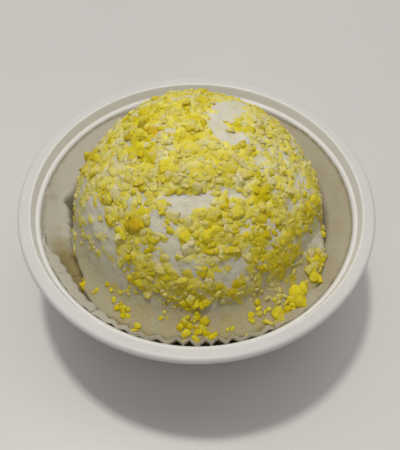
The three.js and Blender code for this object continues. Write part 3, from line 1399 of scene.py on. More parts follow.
@dataclass(frozen=True)
class Crust:
    """Layer of crushed crumbs on the cream, thick at the top, sparse at the foot and on bare patches.

    Attributes:
        grains: Crumbs along the dome's radius.
        grain_spread: How much that number goes up and down.
        wobble: Unevenness of the crumbs' outlines.
        edge: Rises from the gap between two crumbs to their tops.
        softness: Softness of the border between covered and bare places.
        height: Height of the tallest crumbs.
        low_height: Height of the crumbs at the sides beside that.
        high_height: Height of the crumbs at the top beside that.
        high_part: Levels between which they grow, where 1 is the dome's top.
        part: Levels between which the crust starts.
        side_cover: Share of crumbs at the sides.
        top_cover: Share of crumbs at the top.
        top_part: Levels between which the one changes into the other.
        foot_cover: Share that is left of them at the foot.
        foot_part: Levels between which the foot ends.
        clumps: Broad unevenness of the cover.
        gaps: Fine unevenness of the cover.
        patches: Places with a cover of their own.
    """

    grains: float = 15.0
    grain_spread: float = 2.5
    wobble: float = 0.3
    edge: Fade = Fade(-0.05, 0.32)
    softness: float = 0.04
    height: float = 0.75
    low_height: float = 0.6
    high_height: float = 0.75
    high_part: Fade = Fade(0.5, 0.8)
    part: Fade = Fade(0.15, 0.3)
    side_cover: float = 0.72
    top_cover: float = 0.98
    top_part: Fade = Fade(0.6, 0.85)
    foot_cover: float = 0.12
    foot_part: Fade = Fade(0.0, 0.2)
    clumps: Ripple = Ripple(0.3, 5.0, 2, 2.0)
    gaps: Ripple = Ripple(0.2, 14.0, 2, 8.0)
    patches: tuple[Patch, ...] = (
        Patch(188, 22, 12, 13, 0.3),
        Patch(55, 67, 6.5, 19, 0.0),
        Patch(25, 80, 6, 6, 0.0),
        Patch(357, 76, 4.5, 7.5, 0.02),
        Patch(357, 54, 5, 5, 0.15),
        Patch(12, 57, 4, 4, 0.3),
        Patch(19, 37, 5, 5, 0.4),
        Patch(350, 38, 5, 5.5, 0.12),
        Patch(341, 57, 9, 6, 0.45),
        Patch(338, 15, 14, 8, 0.01, -27),
        Patch(321, 12, 6, 5, 0.2),
        Patch(326, 26, 5, 3, 0.35),
        Patch(313, 37, 3.5, 5, 0.25),
        Patch(212, 29, 16, 9.5, 0.06),
        Patch(224, 8, 18, 18, 0.01),
        Patch(207, 12, 12, 2.5, 0.2, 47),
        Patch(197, 6, 14, 10, 0.06),
        Patch(267, 59, 10, 5, 0.02),
        Patch(254, 53, 5.5, 4, 0.1),
        Patch(247, 47, 8, 5.5, 0.03, -20),
        Patch(259, 40, 6, 7, 0.04),
        Patch(265, 31, 5, 5, 0.15),
        Patch(227, 50, 3, 5, 0.25),
        Patch(247, 33, 3, 4, 0.3),
        Patch(232, 53, 5, 4, 0.2),
        Patch(285, 32, 6, 8, 0.06),
        Patch(294, 37, 3, 4, 0.4),
        Patch(295, 60, 7, 3.5, 0.3, -20),
        Patch(251, 5, 15, 10, 0.03),
        Patch(284, 8, 10, 9, 0.12),
        Patch(300, 2, 8, 6, 0.3),
        Patch(268, 16, 6, 4, 0.9),
        Patch(240, 6, 6, 6, 0.02),
        Patch(75, 30, 12, 6, 0.15, 15),
        Patch(130, 38, 10, 5, 0.2, -10),
        Patch(30, 18, 10, 6, 0.2),
        Patch(105, 8, 16, 6, 0.15),
        Patch(160, 12, 12, 6, 0.3),
    )

    def density(self, spot: Vector) -> float:
        """Share of crumbs.

        Args:
            spot: A spot of the unit ball.

        Returns:
            A share from bare at 0 to thick at 1.
        """
        share = mix(self.side_cover, self.top_cover, self.top_part.at(spot.z))
        share += self.clumps.at(spot) + self.gaps.at(spot)
        share *= mix(self.foot_cover, 1.0, self.foot_part.at(spot.z))
        for patch in self.patches:
            share = mix(share, patch.share, patch.weight(spot))
        return clamp(share)

    def grain(self, spot: Vector) -> Grain:
        """The crust at a spot.

        Args:
            spot: A spot of the unit ball.

        Returns:
            Its height and its kind there.
        """
        cells = self.grains + self.grain_spread * noise.noise(spot * 3.0 + Vector((9.0, 4.0, 1.0)))
        place = spot * cells
        shifted = [place * 0.9 + Vector((0.0, shift, 0.0)) for shift in (3.0, 13.0, 23.0)]
        place += self.wobble * Vector([noise.noise(point) for point in shifted])
        far, seeds = noise.voronoi(place)
        presence, size, tone = noise.cell_vector(seeds[0])
        cover = self.density(spot)
        share = (cover + 0.05) * self.part.at(spot.z)
        present = smooth_step(share, presence - self.softness, presence + self.softness)
        edge = self.edge.at(far[1] - far[0])
        tall = self.height * mix(self.low_height, self.high_height, self.high_part.at(spot.z))
        return Grain(tall * present * edge * (0.45 + 0.8 * size), present, edge, tone, cover)


@dataclass(frozen=True)
class StainAndPaintedShade:
    """Where the crumbs' yellow is deep, where it has run into the cream, and the painted shade where the cup
    shelters it.

    Attributes:
        drift: Unevenness of the yellow over many crumbs.
        run_down: Unevenness of the yellow that has run down.
        run_from: Azimuths where that starts.
        run_to: Azimuths where it ends.
        run_height: Heights between which it starts.
        shade: Heights over which the shelter of the cup sets in.
        deep_shade: Heights over which the shelter of its wall does.
        open_notch: Place where the case's edge is low and lets light in.
        notch_light: Share of the shelter that is lost there.
        places: Places with a depth of yellow of their own.
    """

    drift: Ripple = Ripple(0.75, 6.5, 2, 21.0)
    run_down: Ripple = Ripple(1.1, 9.0, 2, 33.0)
    run_from: Fade = Fade(228, 250)
    run_to: Fade = Fade(335, 315)
    run_height: Fade = Fade(45, 40)
    shade: Fade = Fade(64, 46)
    deep_shade: Fade = Fade(47, 41)
    open_notch: Patch = Patch(338, 15, 15, 8, 0.0, -27)
    notch_light: float = 0.8
    places: tuple[Patch, ...] = (
        Patch(160, 68, 16, 9, 0.95),
        Patch(100, 74, 18, 10, 0.6),
        Patch(300, 80, 16, 8, 0.45),
        Patch(312, 30, 13, 15, 0.85),
        Patch(340, 27, 11, 8, 0.9),
        Patch(234, 43, 4, 4.5, 1.0),
        Patch(268, 15, 6, 5, 1.0),
        Patch(270, 4, 6, 8, 0.8),
        Patch(243, 26, 10, 6, 0.7),
        Patch(205, 55, 14, 9, 0.35),
        Patch(10, 55, 22, 12, 0.3),
        Patch(268, 67, 18, 5, 0.4),
        Patch(190, 30, 10, 12, 0.3),
    )

    def richness(self, spot: Vector) -> float:
        """How deep the yellow is, in drifts of many crumbs.

        Args:
            spot: A spot of the unit ball.

        Returns:
            A share from pale at 0 to saturated at 1.
        """
        share = 0.5 + self.drift.at(spot)
        for patch in self.places:
            share = mix(share, patch.share, patch.weight(spot))
        return clamp(share)

    def pooled(self, spot: Vector, height: float) -> float:
        """How much yellow has run down into the spread cream at the front.

        Args:
            spot: A spot of the unit ball.
            height: Its height on the dome in millimetres.

        Returns:
            A share from 0, which may rise above 1.
        """
        azimuth = bearing(spot)[0] % 360
        share = self.run_height.at(height) * self.run_from.at(azimuth) * self.run_to.at(azimuth)
        return max(0.0, share * (0.6 + self.run_down.at(spot)))

    def shelter(self, height: float) -> float:
        """How much a height lies in the shelter of the cup, where the cream and its crumbs are painted darker
        as shade.
        """
        return 0.6 * self.shade.at(height) + 0.4 * self.deep_shade.at(height)

    def painted_shade_at(self, spot: Vector, height: float) -> float:
        """Painted shade of a spot of the cream under the cup's shelter, less in the open notch."""
        return self.shelter(height) * (1 - self.notch_light * self.open_notch.weight(spot))


@dataclass
class CreamDome:
    """Half a ball of frozen cream on upright sides that go down inside the paper case.

    Attributes:
        case: The paper that holds it.
        radius: Radius of the ball.
        centre_height: Height of the ball's middle.
        bottom: Height of the base.
        foot_rounding: Rounding between the sides and the base.
        foot_share: Share of the points below the sides that this rounding takes.
        crust_foot: Height where the crust starts.
        fineness: How often the ball's triangles are divided.
        relief_foot: Height below the ball's middle over which the relief fades out.
        held_below: Elevation below which the paper holds the cream in, in degrees.
        swell: Broad unevenness of the cream.
        swirl: Fine unevenness of the cream.
        smooth_side: Place with less of the fine unevenness.
        smoothing: Share of it that is missing there.
        skirt: Cream that spreads at its foot.
        crust: Crushed crumbs on it.
        stain_and_painted_shade: Where it is yellow, and its painted shade low in the cup.
        finish: Its finish.
        lumps: Its broad swellings and hollows.
        ridges: Its raised lines and grooves.
    """

    case: PaperCase
    radius: float = 41.2
    centre_height: float = 34.5
    bottom: float = 2.8
    foot_rounding: float = 3.0
    foot_share: float = 0.1
    crust_foot: float = 28.5
    fineness: int = 7
    relief_foot: float = 14.0
    held_below: float = 12.0
    swell: Ripple = Ripple(0.45, 4.0, 2, 11.0)
    swirl: Ripple = Ripple(0.42, 11.0, 3, 5.0)
    smooth_side: Patch = Patch(228, 6, 26, 15, 0.0)
    smoothing: float = 0.75
    skirt: Skirt = field(default_factory=Skirt)
    crust: Crust = field(default_factory=Crust)
    stain_and_painted_shade: StainAndPaintedShade = field(default_factory=StainAndPaintedShade)
    finish: FrozenCream = field(default_factory=FrozenCream)
    lumps: tuple[Lump, ...] = (
        Lump(345, 27, 15, 1.0),
        Lump(330, 14, 9, -1.3),
        Lump(245, 62, 20, 0.7),
        Lump(285, 60, 12, -0.8),
        Lump(215, 22, 16, -0.7),
        Lump(272, 35, 18, 0.6),
        Lump(100, 50, 22, 0.6),
        Lump(150, 30, 16, -0.6),
        Lump(40, 76, 9, -0.7),
        Lump(350, 22, 6, 0.7),
        Lump(337, 15, 6, -0.9),
        Lump(60, 20, 14, 0.5),
        Lump(120, 15, 12, -0.6),
    )
    ridges: tuple[Ridge, ...] = (
        Ridge(((16, 56), (12, 50), (4, 44), (352, 40), (344, 35), (338, 27)), 2.6, -0.9),
        Ridge(((252, 69), (275, 71), (300, 68), (325, 62)), 5.0, 0.6),
        Ridge(((250, 60), (275, 62), (300, 60)), 4.0, -0.5),
        Ridge(((203, 38), (207, 30), (214, 26)), 2.4, 0.6),
        Ridge(((60, 40), (85, 33), (110, 36)), 3.0, -0.6),
    )

    def frame_height(self, elevation: float) -> float:
        """Height of the outline.

        Args:
            elevation: Angle up the ball in degrees; below 0 it goes down the upright side.

        Returns:
            The height in millimetres.
        """
        if elevation >= 0:
            return self.centre_height + self.radius * math.sin(math.radians(elevation))
        return self.centre_height + self.radius * math.radians(elevation)

    def relief(self, spot: Vector) -> float:
        """Height of the lumps, ridges and swirls.

        Args:
            spot: A spot of the unit ball.

        Returns:
            The height in millimetres.
        """
        total = 0.0
        for lump in self.lumps:
            away = math.degrees(spot.angle(heading(lump.azimuth, lump.elevation)))
            total += lump.height * math.exp(-((away / lump.reach) ** 2))
        total += sum(ridge.at(spot) for ridge in self.ridges)
        rough = 1 - self.smoothing * self.smooth_side.weight(spot)
        return total + self.swell.at(spot) + rough * self.swirl.at(spot)

    def point(self, azimuth: float, elevation: float, height: float = 0.0) -> Vector:
        """Point of the cream's surface.

        Args:
            azimuth: Direction round the axis, in degrees.
            elevation: Angle above the ball's middle, or below it as arc down the side, in degrees.
            height: Distance of the point above the surface.

        Returns:
            The point in millimetres.
        """
        spot = heading(azimuth, elevation)
        level = self.frame_height(elevation)
        flat = heading(azimuth, 0)
        fade = smooth_step(level, self.centre_height - self.relief_foot, self.centre_height)
        outward = heading(azimuth, max(0.0, elevation))
        place = flat * self.radius * math.cos(math.radians(max(0.0, elevation))) + Vector((0, 0, level))
        place += outward * (self.relief(spot) * fade + height)
        place += flat * self.skirt.at(azimuth, level)
        radius = place.xy.length
        if elevation < self.held_below:
            radius = min(radius, self.case.inside(azimuth, place.z) + height)
        return Vector((flat.x * radius, flat.y * radius, place.z))

    def body_point(self, spot: Vector) -> Vector:
        """Place on the dome of a point of the unit ball; the lower half becomes sides, foot and base.

        Args:
            spot: The point of the unit ball.

        Returns:
            The place in millimetres.
        """
        azimuth, elevation = bearing(spot)
        lowest = -math.degrees((self.centre_height - self.bottom - self.foot_rounding) / self.radius)
        if elevation >= lowest:
            return self.point(azimuth, elevation)
        below = (lowest - elevation) / (90 + lowest)
        inner = self.point(azimuth, lowest).xy.length - self.foot_rounding
        angle = min(1.0, below / self.foot_share) * math.pi / 2
        height = self.bottom + self.foot_rounding * (1 - math.sin(angle))
        radius = inner + self.foot_rounding * math.cos(angle)
        if below > self.foot_share:
            radius = inner * (1 - (below - self.foot_share) / (1 - self.foot_share))
        return polar(radius, azimuth, height)

    def build(self) -> bpy.types.Object:
        """Shapes a ball of small triangles into the dome.

        Returns:
            The finished piece.
        """
        shape = bmesh.new()
        bmesh.ops.create_icosphere(shape, subdivisions=self.fineness, radius=1.0)
        names = (Layer.PAINTED_LIGHT_AND_GREASE, Layer.SPRINKLED, Layer.TOP_LIGHT_AND_SMEAR, Layer.STAINED, Layer.TONE, Layer.RICH)
        painted_light_and_grease, sprinkled, top_light_and_smear, stained, tone, rich = new_layers(shape, *names)
        for vert in shape.verts:
            spot = vert.co.normalized()
            vert.co = self.body_point(spot)
            # Painted shade low in the cup.
            vert[painted_light_and_grease] = self.stain_and_painted_shade.painted_shade_at(spot, vert.co.z)
            if vert.co.z > self.crust_foot:
                grain = self.crust.grain(spot)
                vert[sprinkled] = grain.yellow
                # Crust cell tops, which the finish paints darker than the gaps as a painted offset of their
                # shade.
                vert[top_light_and_smear] = grain.top
                vert[stained] = max(grain.cover, self.stain_and_painted_shade.pooled(spot, vert.co.z))
                vert[tone] = grain.tone
                vert[rich] = self.stain_and_painted_shade.richness(spot)
                azimuth, elevation = bearing(spot)
                vert.co += heading(azimuth, max(0.0, elevation)) * grain.height
        return to_piece(shape, "cream_dome", self.finish.build())

    def dress(self) -> None:
        """Builds the cream and fixes it to the frame."""
        join_frame(self.build(), "semifreddo")


# ---------------------------------------------------------------- the crumbs


@dataclass(frozen=True)
class CrumbSort:
    """One size of crumb.

    Attributes:
        name: Name of its piece.
        count: Number of crumbs on the crust.
        smallest: Size of the smallest in millimetres.
        largest: Size of the largest in millimetres.
        sink: Share of a crumb's size that lies below the crust.
        closeness: Least distance between two crumbs, as a share of their half sizes together.
        cuts: Fineness of their shapes.
        second_layer: Number of crumbs on top of others.
        gathered: How strictly they keep to the heaped place, from 0 to 1.
    """

    name: str
    count: int
    smallest: float
    largest: float
    sink: float
    closeness: float
    cuts: int
    second_layer: int = 0
    gathered: float = 0.0


@dataclass(frozen=True)
class Drift:
    """A few crumbs that lie together low down.

    Attributes:
        azimuth: Their middle, in degrees.
        elevation: Their middle, in degrees.
        count: Number of crumbs.
        spread: How far they lie apart, in degrees.
        smallest: Size of the smallest in millimetres.
        largest: Size of the largest in millimetres.
        rich: Depth of their yellow.
    """

    azimuth: float
    elevation: float
    count: int
    spread: float
    smallest: float
    largest: float
    rich: float = 1.0


@dataclass(frozen=True)
class Crumb:
    """A crumb in its place: centre, outward direction, half its size, its own tone and its drift's."""

    centre: Vector
    outward: Vector
    half: float
    tone: float
    rich: float


class Neighbourhood:
    """Finds crumbs near a point, by sorting them into cubes of space."""

    def __init__(self, cell: float) -> None:
        """Starts empty, with cubes of that size in millimetres."""
        self.cell = cell
        self.cells: dict[tuple[int, int, int], list[Crumb]] = {}

    def key(self, point: Vector) -> tuple[int, int, int]:
        """Cube that holds a point."""
        return tuple(math.floor(value / self.cell) for value in point)

    def add(self, crumb: Crumb) -> None:
        """Remembers a crumb."""
        self.cells.setdefault(self.key(crumb.centre), []).append(crumb)

    def crowded(self, point: Vector, half: float, closeness: float) -> bool:
        """Whether a crumb would sit too deep in another one.

        Args:
            point: Where it would lie.
            half: Half its size in millimetres.
            closeness: Least distance between two crumbs, as a share of their half sizes together.

        Returns:
            True where the place is taken.
        """
        home = self.key(point)
        for step in product((-1, 0, 1), repeat=3):
            cube = tuple(place + move for place, move in zip(home, step))
            for other in self.cells.get(cube, ()):
                if (other.centre - point).length < closeness * (other.half + half):
                    return True
        return False


@dataclass(frozen=True)
class OwnCrumb:
    """A crumb with a place of its own in degrees, a size in millimetres and a tone."""

    azimuth: float
    elevation: float
    size: float
    tone: float


@dataclass(frozen=True)
class BrokenCrumb:
    """Shape of a broken crumb of about unit half size: between a ball and a cube, uneven and flat.

    Attributes:
        lengths: Shortest and longest.
        widths: Narrowest and widest.
        heights: Flattest and tallest.
        boxiness: 0 for a ball and 1 for a cube.
        lumpy: Broad unevenness.
        knobby: Strength of the finer unevenness.
    """

    lengths: tuple[float, float] = (0.95, 1.35)
    widths: tuple[float, float] = (0.7, 1.0)
    heights: tuple[float, float] = (0.42, 0.68)
    boxiness: float = 0.35
    lumpy: Ripple = Ripple(0.42, 1.2, 2)
    knobby: float = 0.15

    def build(self, cuts: int, seed: int) -> bpy.types.Mesh:
        """Shapes one crumb.

        Args:
            cuts: Cuts across each side of the cube that it starts from.
            seed: Chooses the shape.

        Returns:
            A mesh to copy it from.
        """
        chance = random.Random(seed)
        shape = bmesh.new()
        bmesh.ops.create_cube(shape, size=2.0)
        bmesh.ops.subdivide_edges(shape, edges=shape.edges, cuts=cuts, use_grid_fill=True)
        stretch = Vector(chance.uniform(*spread) for spread in (self.lengths, self.widths, self.heights))
        lumpy = replace(self.lumpy, seed=seed * 3.7)
        for vert in shape.verts:
            ball = vert.co.normalized()
            rough = lumpy.at(ball) + self.knobby * noise.noise(ball * 2.6 + stretch * seed)
            vert.co = ball.lerp(vert.co * 0.72, self.boxiness) * (1 + rough)
        bmesh.ops.scale(shape, vec=stretch, verts=shape.verts)
        mesh = bpy.data.meshes.new("crumb shape")
        shape.to_mesh(mesh)
        shape.free()
        return mesh


@dataclass
class Crumbs:
    """Sponge crumbs pressed into the cream, thick over most of it and sparse on its bare patches.

    Attributes:
        dome: The cream that they lie on.
        seed: Chooses their places and turns.
        lowest: Elevation of the lowest crumbs, in degrees.
        shapes: Number of different shapes in a piece.
        tries: Places tried for each crumb.
        drift_tries: Places tried for each fallen crumb.
        dome_cube: Side in millimetres of the cubes that crumbs are sorted into.
        drift_cube: The same for the fallen crumbs.
        pressed: Place where the crumbs are pressed in deeper.
        heaped: Place that the large crumbs keep to.
        pressed_sink: How much deeper crumbs lie in the pressed place.
        side_sink: How much deeper they lie on the sides.
        side_part: Elevations over which the sides begin.
        pickiness: How much crumbs avoid thinly covered places.
        top_pickiness: The same for the crumbs on top of others.
        top_sink: Share of their size that lies below the crust.
        top_closeness: Least distance between them.
        smallness: Power that makes small crumbs the more common ones.
        drift_across: Part of a drift's spread that goes round the dome.
        drift_up: Part of it that goes up the dome.
        drift_closeness: Least distance between fallen crumbs.
        tilt: Usual tilt of a crumb, in radians.
        own_cuts: Fineness of the shapes of toasted and fallen crumbs.
        own_sink: Share of a toasted crumb's size that lies below the crust.
        broken: Shape of the crumbs.
        sorts: The scattered crumbs, large ones first.
        fallen: The crumbs that have rolled down against the paper.
        toasted: The brown crumbs, each in its own place.
    """

    dome: CreamDome
    seed: int = 2024
    lowest: float = -8.0
    shapes: int = 16
    tries: int = 25
    drift_tries: int = 40
    dome_cube: float = 4.6
    drift_cube: float = 5.6
    pressed: Patch = Patch(110, 80, 50, 30, 0.0)
    heaped: Patch = Patch(218, 56, 48, 20, 0.0)
    pressed_sink: float = 0.25
    side_sink: float = 0.14
    side_part: Fade = Fade(60, 35)
    pickiness: float = 1.3
    top_pickiness: float = 4.0
    top_sink: float = -0.1
    top_closeness: float = 0.6
    smallness: float = 1.6
    drift_across: float = 0.75
    drift_up: float = 0.6
    drift_closeness: float = 0.5
    tilt: float = 0.3
    own_cuts: int = 2
    own_sink: float = 0.4
    broken: BrokenCrumb = field(default_factory=BrokenCrumb)
    sorts: tuple[CrumbSort, ...] = (
        CrumbSort("crumbs_coarse", 240, 3.8, 5.8, 0.7, 0.5, 3, 0, 0.92),
        CrumbSort("crumbs_medium", 1050, 2.1, 3.4, 0.74, 0.44, 2, 20, 0.3),
        CrumbSort("crumbs_fine", 900, 1.2, 2.2, 0.68, 0.42, 2, 20),
    )
    fallen: tuple[Drift, ...] = (
        Drift(266, 7.5, 4, 1.1, 2.6, 3.8, 0.9),
        Drift(270, 6.5, 2, 1.0, 2.2, 3.0, 1.0),
        Drift(274, 7.5, 4, 1.2, 2.4, 3.6, 1.1),
        Drift(267, 16, 3, 1.3, 3.2, 4.2, 0.8),
        Drift(273, 16, 2, 1.0, 3.0, 4.0, 0.7),
        Drift(270, 11, 3, 1.6, 1.8, 2.6, 1.0),
        Drift(240, 7.5, 4, 0.8, 1.8, 2.8, 1.3),
        Drift(243, 7, 3, 0.8, 1.6, 2.4, 1.3),
        Drift(248, 5.5, 2, 0.6, 1.8, 2.4, 1.1),
        Drift(220, 5, 4, 1.0, 1.6, 2.6, 1.2),
        Drift(226, 6.5, 2, 0.8, 1.0, 1.8, 1.1),
        Drift(316.5, 7, 1, 0.3, 4.6, 5.2, 0.9),
        Drift(313.5, 7, 2, 1.2, 5.4, 6.6, 0.9),
        Drift(310.5, 6, 2, 1.0, 3.4, 4.4, 0.9),
        Drift(307, 5.5, 5, 1.0, 1.8, 2.6, 1.5),
        Drift(302, 5.5, 2, 1.0, 4.0, 5.2, 0.9),
        Drift(299.5, 5.5, 2, 0.6, 1.8, 2.6, 1.2),
        Drift(334, 7.5, 2, 1.4, 3.0, 4.0, 0.6),
        Drift(329, 8, 3, 1.6, 4.0, 5.4, 0.5),
        Drift(325, 7, 3, 1.4, 3.2, 4.6, 0.8),
        Drift(346, 8, 4, 1.6, 1.8, 2.8, 0.7),
        Drift(291, 7.5, 2, 0.8, 1.8, 2.4, 0.8),
        Drift(284, 7, 1, 0.6, 1.4, 1.8, 0.6),
        Drift(288, 5.5, 1, 0.4, 1.4, 1.8, 0.8),
        Drift(277, 5, 1, 0.4, 1.6, 2.0, 0.9),
        Drift(282, 7, 2, 1.4, 1.2, 1.8, 0.8),
        Drift(296, 7, 5, 2.2, 1.4, 2.6, 0.6),
        Drift(306, 9, 4, 2.0, 1.6, 2.6, 0.6),
        Drift(255, 8, 3, 2.4, 1.0, 1.6, 0.6),
        Drift(234, 9, 3, 1.8, 1.2, 1.8, 0.7),
    )
    toasted: tuple[OwnCrumb, ...] = (
        OwnCrumb(168, 70.5, 4.2, -0.1),
        OwnCrumb(173, 72, 3.6, 0.0),
        OwnCrumb(164, 68, 3.4, 0.2),
        OwnCrumb(159, 64, 4.2, 0.9),
        OwnCrumb(178, 66, 3.8, 1.0),
        OwnCrumb(171, 60, 3.6, 0.7),
        OwnCrumb(234, 43, 5.4, 0.4),
        OwnCrumb(230.5, 42, 3.6, 0.5),
    )

    def random_spot(self, chance: random.Random) -> tuple[float, float]:
        """A random spot, even by area down to the lowest crumbs.

        Args:
            chance: Source of random numbers.

        Returns:
            Its azimuth and elevation in degrees.
        """
        azimuth = chance.uniform(0, 360)
        level = chance.uniform(math.radians(self.lowest), 1.0)
        elevation = math.degrees(math.asin(level)) if level >= 0 else math.degrees(level)
        return azimuth, elevation

    def place(self, azimuth: float, elevation: float, half: float, sink: float,
              chance: random.Random) -> Crumb:
        """A crumb on the crust.

        Args:
            azimuth: Where it lies, in degrees.
            elevation: Where it lies, in degrees.
            half: Half its size in millimetres.
            sink: Share of its size that lies below the crust.
            chance: Source of random numbers.

        Returns:
            The crumb.
        """
        spot = heading(azimuth, elevation)
        sink += self.pressed_sink * self.pressed.weight(spot) + self.side_sink * self.side_part.at(elevation)
        height = self.dome.crust.grain(spot).height + half * (0.5 - sink)
        centre = self.dome.point(azimuth, elevation, height)
        outward = heading(azimuth, max(0.0, elevation))
        return Crumb(centre, outward, half, chance.random(), self.dome.stain_and_painted_shade.richness(spot))

    def scatter(self, sort: CrumbSort, chance: random.Random, near: Neighbourhood) -> list[Crumb]:
        """Places the crumbs of one size, and a few on top of them.

        Args:
            sort: The size of crumb.
            chance: Source of random numbers.
            near: All crumbs placed so far, to which these are added.

        Returns:
            The crumbs in their places.
        """
        placed = []
        first = (sort.count, self.pickiness, sort.sink, sort.closeness)
        second = (sort.second_layer, self.top_pickiness, self.top_sink, self.top_closeness)
        for count, pickiness, sink, closeness in (first, second):
            wanted = len(placed) + count
            for _ in range(count * self.tries):
                if len(placed) >= wanted:
                    break
                azimuth, elevation = self.random_spot(chance)
                spot = heading(azimuth, elevation)
                welcome = self.dome.crust.density(spot) ** pickiness
                welcome *= 1 - sort.gathered * (1 - self.heaped.weight(spot))
                if chance.random() > welcome:
                    continue
                half = 0.5 * mix(sort.smallest, sort.largest, chance.random() ** self.smallness)
                crumb = self.place(azimuth, elevation, half, sink, chance)
                if near.crowded(crumb.centre, half, closeness):
                    continue
                near.add(crumb)
                placed.append(crumb)
        return placed

    def drifts(self, chance: random.Random) -> list[Crumb]:
        """Crumbs that have rolled down against the paper.

        Args:
            chance: Source of random numbers.

        Returns:
            The crumbs in their places.
        """
        crumbs = []
        near = Neighbourhood(self.drift_cube)
        for drift in self.fallen:
            wanted = len(crumbs) + drift.count
            for _ in range(drift.count * self.drift_tries):
                if len(crumbs) >= wanted:
                    break
                azimuth = drift.azimuth + self.drift_across * drift.spread * chance.gauss(0, 1)
                elevation = drift.elevation + self.drift_up * drift.spread * chance.gauss(0, 1)
                half = 0.5 * chance.uniform(drift.smallest, drift.largest)
                centre = self.dome.point(azimuth, elevation, 0.1 * half)
                if near.crowded(centre, half, self.drift_closeness):
                    continue
                outward = (heading(azimuth, 20) + Vector((0, 0, 0.8))).normalized()
                crumb = Crumb(centre, outward, half, chance.random(), drift.rich)
                near.add(crumb)
                crumbs.append(crumb)
        return crumbs

    def turned(self, crumb: Crumb, chance: random.Random) -> Matrix:
        """How a crumb is turned: nearly flat on the cream, any way round.

        Args:
            crumb: The crumb in its place.
            chance: Source of random turns.

        Returns:
            The rotation.
        """
        turn = Matrix.Rotation(chance.uniform(0, math.tau), 3, crumb.outward)
        nod = Matrix.Rotation(chance.gauss(0, self.tilt), 3, "X")
        tip = Matrix.Rotation(chance.gauss(0, self.tilt), 3, "Y")
        return turn @ crumb.outward.to_track_quat("Z", "Y").to_matrix() @ nod @ tip

    def build(self, finish: SpongeCrumb, name: str, cuts: int, crumbs: list[Crumb],
              chance: random.Random) -> bpy.types.Object:
        """Joins crumbs of one kind into one mesh.

        Args:
            finish: Their finish.
            name: Name of the piece.
            cuts: Fineness of its crumbs' shapes.
            crumbs: Their places.
            chance: Source of random turns.

        Returns:
            The finished piece.
        """
        patterns = [self.broken.build(cuts, 100 * cuts + number) for number in range(self.shapes)]
        shape = bmesh.new()
        names = (Layer.TONE, Layer.TOP_LIGHT_AND_SMEAR, Layer.RICH, Layer.PAINTED_LIGHT_AND_GREASE)
        tone, top_light_and_smear, rich, painted_light_and_grease = new_layers(shape, *names)
        for number, crumb in enumerate(crumbs):
            start = len(shape.verts)
            shape.from_mesh(patterns[number % self.shapes])
            shape.verts.ensure_lookup_table()
            rotation = self.turned(crumb, chance)
            # Strength of a crumb's painted top light and smeared cream.
            top_light_and_smear_scale = 0.35 + 0.75 * chance.random()
            # Painted shade for crumbs low in the cup.
            shade = self.dome.stain_and_painted_shade.shelter(crumb.centre.z)
            upward = 0.5 * crumb.outward + Vector((0.0, 0.0, 0.7))
            for vert in shape.verts[start:]:
                local = rotation @ vert.co
                vert.co = crumb.centre + local * crumb.half
                vert[tone] = crumb.tone
                # Share that faces up: painted top light and shade, and smeared cream.
                vert[top_light_and_smear] = clamp(0.1 + 0.9 * local.dot(upward)) * top_light_and_smear_scale
                vert[rich] = crumb.rich
                vert[painted_light_and_grease] = shade
        for mesh in patterns:
            bpy.data.meshes.remove(mesh)
        return to_piece(shape, name, finish.build())

    def dress(self) -> None:
        """Scatters and builds every kind of crumb, and fixes them to the frame."""
        chance = random.Random(self.seed)
        near = Neighbourhood(self.dome_cube)
        toasted = []
        for own in self.toasted:
            crumb = self.place(own.azimuth, own.elevation, own.size / 2, self.own_sink, chance)
            toasted.append(replace(crumb, tone=own.tone))
            near.add(crumb)
        finish = SpongeCrumb("toasted crumb", Sponge.AMBER)
        join_frame(self.build(finish, "crumbs_toasted", self.own_cuts, toasted, chance))
        for sort in self.sorts:
            crumbs = self.scatter(sort, chance, near)
            finish = SpongeCrumb(f"{sort.name.removeprefix('crumbs_')} crumb", Sponge.YELLOW)
            join_frame(self.build(finish, sort.name, sort.cuts, crumbs, chance))
        finish = SpongeCrumb("fallen crumb", Sponge.LEMON)
        fallen = self.drifts(chance)
        join_frame(self.build(finish, "crumbs_fallen", self.own_cuts, fallen, chance))


# ---------------------------------------------------------------- the studio


@dataclass(frozen=True)
class SoftLight:
    """A square lamp: the direction it stands in as seen from the cup, its side in metres and its power."""

    name: str
    towards: tuple[float, float, float]
    distance: float
    side: float
    power: float
    colour: Colour = (1.0, 0.98, 0.95)


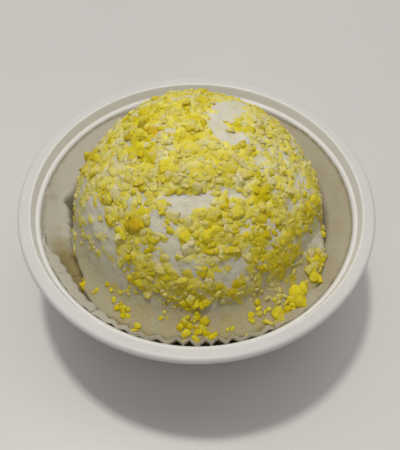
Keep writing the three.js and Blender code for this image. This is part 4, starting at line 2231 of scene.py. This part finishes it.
@dataclass
class Studio:
    """Pale table, soft lamps and the camera, all aimed at the middle of the cup's rim."""

    rim_height: float
    camera_distance: float = 234.0
    camera_elevation: float = 51.56
    camera_aim: tuple[float, float] = (1.06, -11.21)
    camera_roll: float = 0.75
    lens: float = 56.9
    table_side: float = 3.0
    surround: Colour = (0.97, 0.97, 1.0)
    surround_strength: float = 0.26
    lights: tuple[SoftLight, ...] = (
        SoftLight("key lamp", (-4.0, 3.8, 45.0), 0.9, 0.07, 3.25),
        SoftLight("ceiling lamp", (0.0, 15.0, 42.0), 1.0, 1.0, 2.6),
        SoftLight("right lamp", (23.0, 0.0, 42.0), 1.0, 0.25, 0.2),
        SoftLight("front lamp", (0.0, -20.0, 40.0), 1.0, 0.4, 0.65),
    )

    def table(self) -> None:
        """Lays the table under the cup."""
        shape = bmesh.new()
        bmesh.ops.create_grid(shape, x_segments=8, y_segments=8, size=self.table_side / 2 / MM)
        to_piece(shape, "table", PaleTable().build())

    def lamps(self) -> None:
        """Hangs the lamps and lights the surroundings evenly."""
        target = Vector((0, 0, self.rim_height * MM))
        for light in self.lights:
            lamp = bpy.data.lights.new(light.name, "AREA")
            lamp.size = light.side
            lamp.energy = light.power
            lamp.color = light.colour
            holder = bpy.data.objects.new(light.name, lamp)
            holder.location = target + Vector(light.towards).normalized() * light.distance
            holder.rotation_euler = (target - holder.location).to_track_quat("-Z", "Y").to_euler()
            bpy.context.scene.collection.objects.link(holder)
        world = bpy.data.worlds.new("surroundings")
        world.use_nodes = True
        background = world.node_tree.nodes["Background"]
        background.inputs["Color"].default_value = opaque(self.surround)
        background.inputs["Strength"].default_value = self.surround_strength
        bpy.context.scene.world = world

    def camera(self) -> None:
        """Sets the camera above the front of the cup."""
        lens = bpy.data.cameras.new("camera")
        lens.lens = self.lens
        lens.clip_start = 0.01
        camera = bpy.data.objects.new("camera", lens)
        rise = math.radians(self.camera_elevation)
        rim = Vector((0, 0, self.rim_height))
        place = rim + Vector((0, -math.cos(rise), math.sin(rise))) * self.camera_distance
        aim = rim + Vector((*self.camera_aim, 0))
        turn = (aim - place).to_track_quat("-Z", "Y").to_matrix()
        roll = Matrix.Rotation(math.radians(self.camera_roll), 3, "Z")
        camera.matrix_world = Matrix.Translation(place * MM) @ (turn @ roll).to_4x4()
        bpy.context.scene.collection.objects.link(camera)
        bpy.context.scene.camera = camera
        bpy.context.scene.view_settings.view_transform = "Standard"

    def dress(self) -> None:
        """Sets up everything round the object."""
        self.table()
        self.lamps()
        self.camera()


def main() -> None:
    """Builds the cup, the case, the cream and the crumbs, and the studio round them."""
    logging.basicConfig(level=logging.INFO, format="%(name)s: %(message)s")
    low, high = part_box("cup")
    cup = Cup(rim_radius=(high.x - low.x) / 2 / MM, height=high.z / MM)
    cup.dress()
    case = PaperCase(cup)
    case.dress()
    dome = CreamDome(case)
    dome.dress()
    Crumbs(dome).dress()
    Studio(rim_height=cup.height).dress()


if __name__ == "__main__":
    main()
